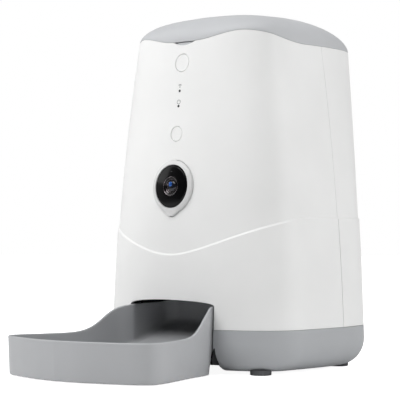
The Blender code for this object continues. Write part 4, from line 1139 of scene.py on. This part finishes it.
def make_screws():
    profile = [(0, 0.018), (0.0014, 0.018), (0.0014, 0.0052), (0.0029, 0.0052), (0.0029, 0.0041)]
    profile += [(0.0024, 0.0035), (0, 0.0033)]
    for name, x, y in both_sides(*PILLARS):
        screw = moved(turned(f"screw_{name}", profile, METAL, 48), x, y, 0)
        slots = []
        for along, across in ((0.0017, 0.00032), (0.00032, 0.0017)):
            slots.append(block("slot", (x - along, y - across, 0.0), (x + along, y + across, 0.0046)))
        cut(screw, *slots)
        stands_for(screw, "bright_metal", f"base_screw_{name}")


def make_battery_door():
    half, reach = BATTERY_HALF + 0.003, BATTERY_REACH + 0.003
    near, far = (-half, BATTERY_Y - reach, 0.0008), (half, BATTERY_Y + reach, 0.0025)
    door = block("battery_cover", near, far, BASE_GREY, 0.0005)
    ribs = []
    for k in range(7):
        y = BATTERY_Y - 0.5 * reach - 0.0022 * k + 0.0066
        ribs.append(block("rib", (-0.012, y - 0.0004, 0.0), (0.012, y + 0.0004, 0.0012)))
    arrow = outline_prism("arrow", [(-0.0032, 0.0), (0.0032, 0.0), (0.0, 0.0042)], -0.001, 0.0012)
    cut(door, *ribs, moved(arrow, 0, BATTERY_Y + 0.3 * reach, 0))
    stands_for(door, "grey_shell", "battery_door", body="battery_door")


def make_inlet():
    barrel = [(0, -0.01), (0.003, -0.01), (0.003, 0.0002), (0.0033, 0.0005), (0.0052, 0.0005)]
    barrel += [(0.0055, 0.0002), (0.0055, -0.013), (0, -0.013)]
    stands_for(on_rear(turned("inlet_barrel", barrel, BLACK, 64)), "black_plastic", "power_socket")
    pin = [(0, -0.0025), (0.0006, -0.0028), (0.00085, -0.0034), (0.00085, -0.01), (0, -0.01)]
    stands_for(on_rear(turned("inlet_pin", pin, METAL, 32)), "bright_metal")


# ---- build
make_front_shell()
make_rear_shell()
make_base()
make_bowl()
make_bay_liner()
make_hopper()
make_rotor()
make_lid()
make_lid_fittings()
make_front_panel()
make_camera_module()
make_feet()
make_screws()
make_battery_door()
make_inlet()

# ---- studio
def make_floor():
    mesh, half = bpy.data.meshes.new("floor"), FLOOR_SIZE / 2
    corners = [(-half, -half, 0), (half, -half, 0), (half, half, 0), (-half, half, 0)]
    mesh.from_pydata(corners, [], [(0, 1, 2, 3)])
    made, tree, shader, place = new_material("floor_paper")
    seen = add_node(tree, "ShaderNodeLightPath").outputs["Is Camera Ray"]
    glow = add_node(tree, "ShaderNodeMath", operation="MULTIPLY")
    glow.inputs[1].default_value = FLOOR_GLOW
    tree.links.new(seen, glow.inputs[0])
    feed(
        shader,
        Base_Color=mixed(tree, noise(tree, place, 300.0, 3.0), (0.9, 0.9, 0.9), (0.93, 0.93, 0.93)),
        Roughness=0.9,
        Specular_IOR_Level=0.0,
        Emission_Color=(1.0, 1.0, 1.0, 1.0),
        Emission_Strength=glow.outputs["Value"],
    )
    placed("floor", mesh, made)


def softbox(name, azimuth, elevation, distance, size, power):
    """A square area light aimed at the middle of the feeder; azimuth 0 is the front, growing towards +X."""
    light = bpy.data.lights.new(name, "AREA")
    light.shape = "RECTANGLE"
    light.size, light.size_y = size
    light.energy = power
    obj = bpy.data.objects.new(name, light)
    a, e = radians(azimuth), radians(elevation)
    aim = Vector((0, 0, 0.15))
    offset = Vector((sin(a) * cos(e), -cos(a) * cos(e), sin(e))) * distance
    obj.location = aim + offset
    obj.rotation_euler = (-offset).to_track_quat("-Z", "Y").to_euler()
    bpy.context.scene.collection.objects.link(obj)


def make_world():
    """A white studio, dimmer on the side the feeder is seen from."""
    world = bpy.data.worlds.new("studio")
    world.use_nodes = True
    tree = world.node_tree
    towards = add_node(tree, "ShaderNodeVectorMath", operation="DOT_PRODUCT")
    towards.inputs[1].default_value = (sin(DIM_AZIMUTH), -cos(DIM_AZIMUTH), 0.0)
    tree.links.new(add_node(tree, "ShaderNodeTexCoord").outputs["Generated"], towards.inputs[0])
    span = {"From_Min": -0.45, "From_Max": 0.45, "To_Min": WORLD_BEHIND, "To_Max": WORLD_BEFORE}
    fall = add_node(tree, "ShaderNodeMapRange", Value=towards.outputs["Value"], **span)
    fall.interpolation_type = "SMOOTHSTEP"
    seen = add_node(tree, "ShaderNodeLightPath").outputs["Is Camera Ray"]
    shown = add_node(tree, "ShaderNodeMix", Factor=seen, A=fall.outputs["Result"], B=1.0)
    feed(tree.nodes["Background"], Color=(1.0, 1.0, 1.0, 1.0), Strength=shown.outputs["Result"])
    bpy.context.scene.world = world


make_floor()
make_world()
softbox("left_key", -70, 30, 2.2, (1.6, 1.6), 9.5)
softbox("front_fill", -12, 52, 2.4, (1.8, 1.2), 36.4)
softbox("right_fill", 122, 22, 2.6, (3.0, 2.4), 34.0)
softbox("overhead", 20, 82, 2.0, (1.8, 1.8), 12.2)
bpy.context.scene.view_settings.view_transform = "Standard"
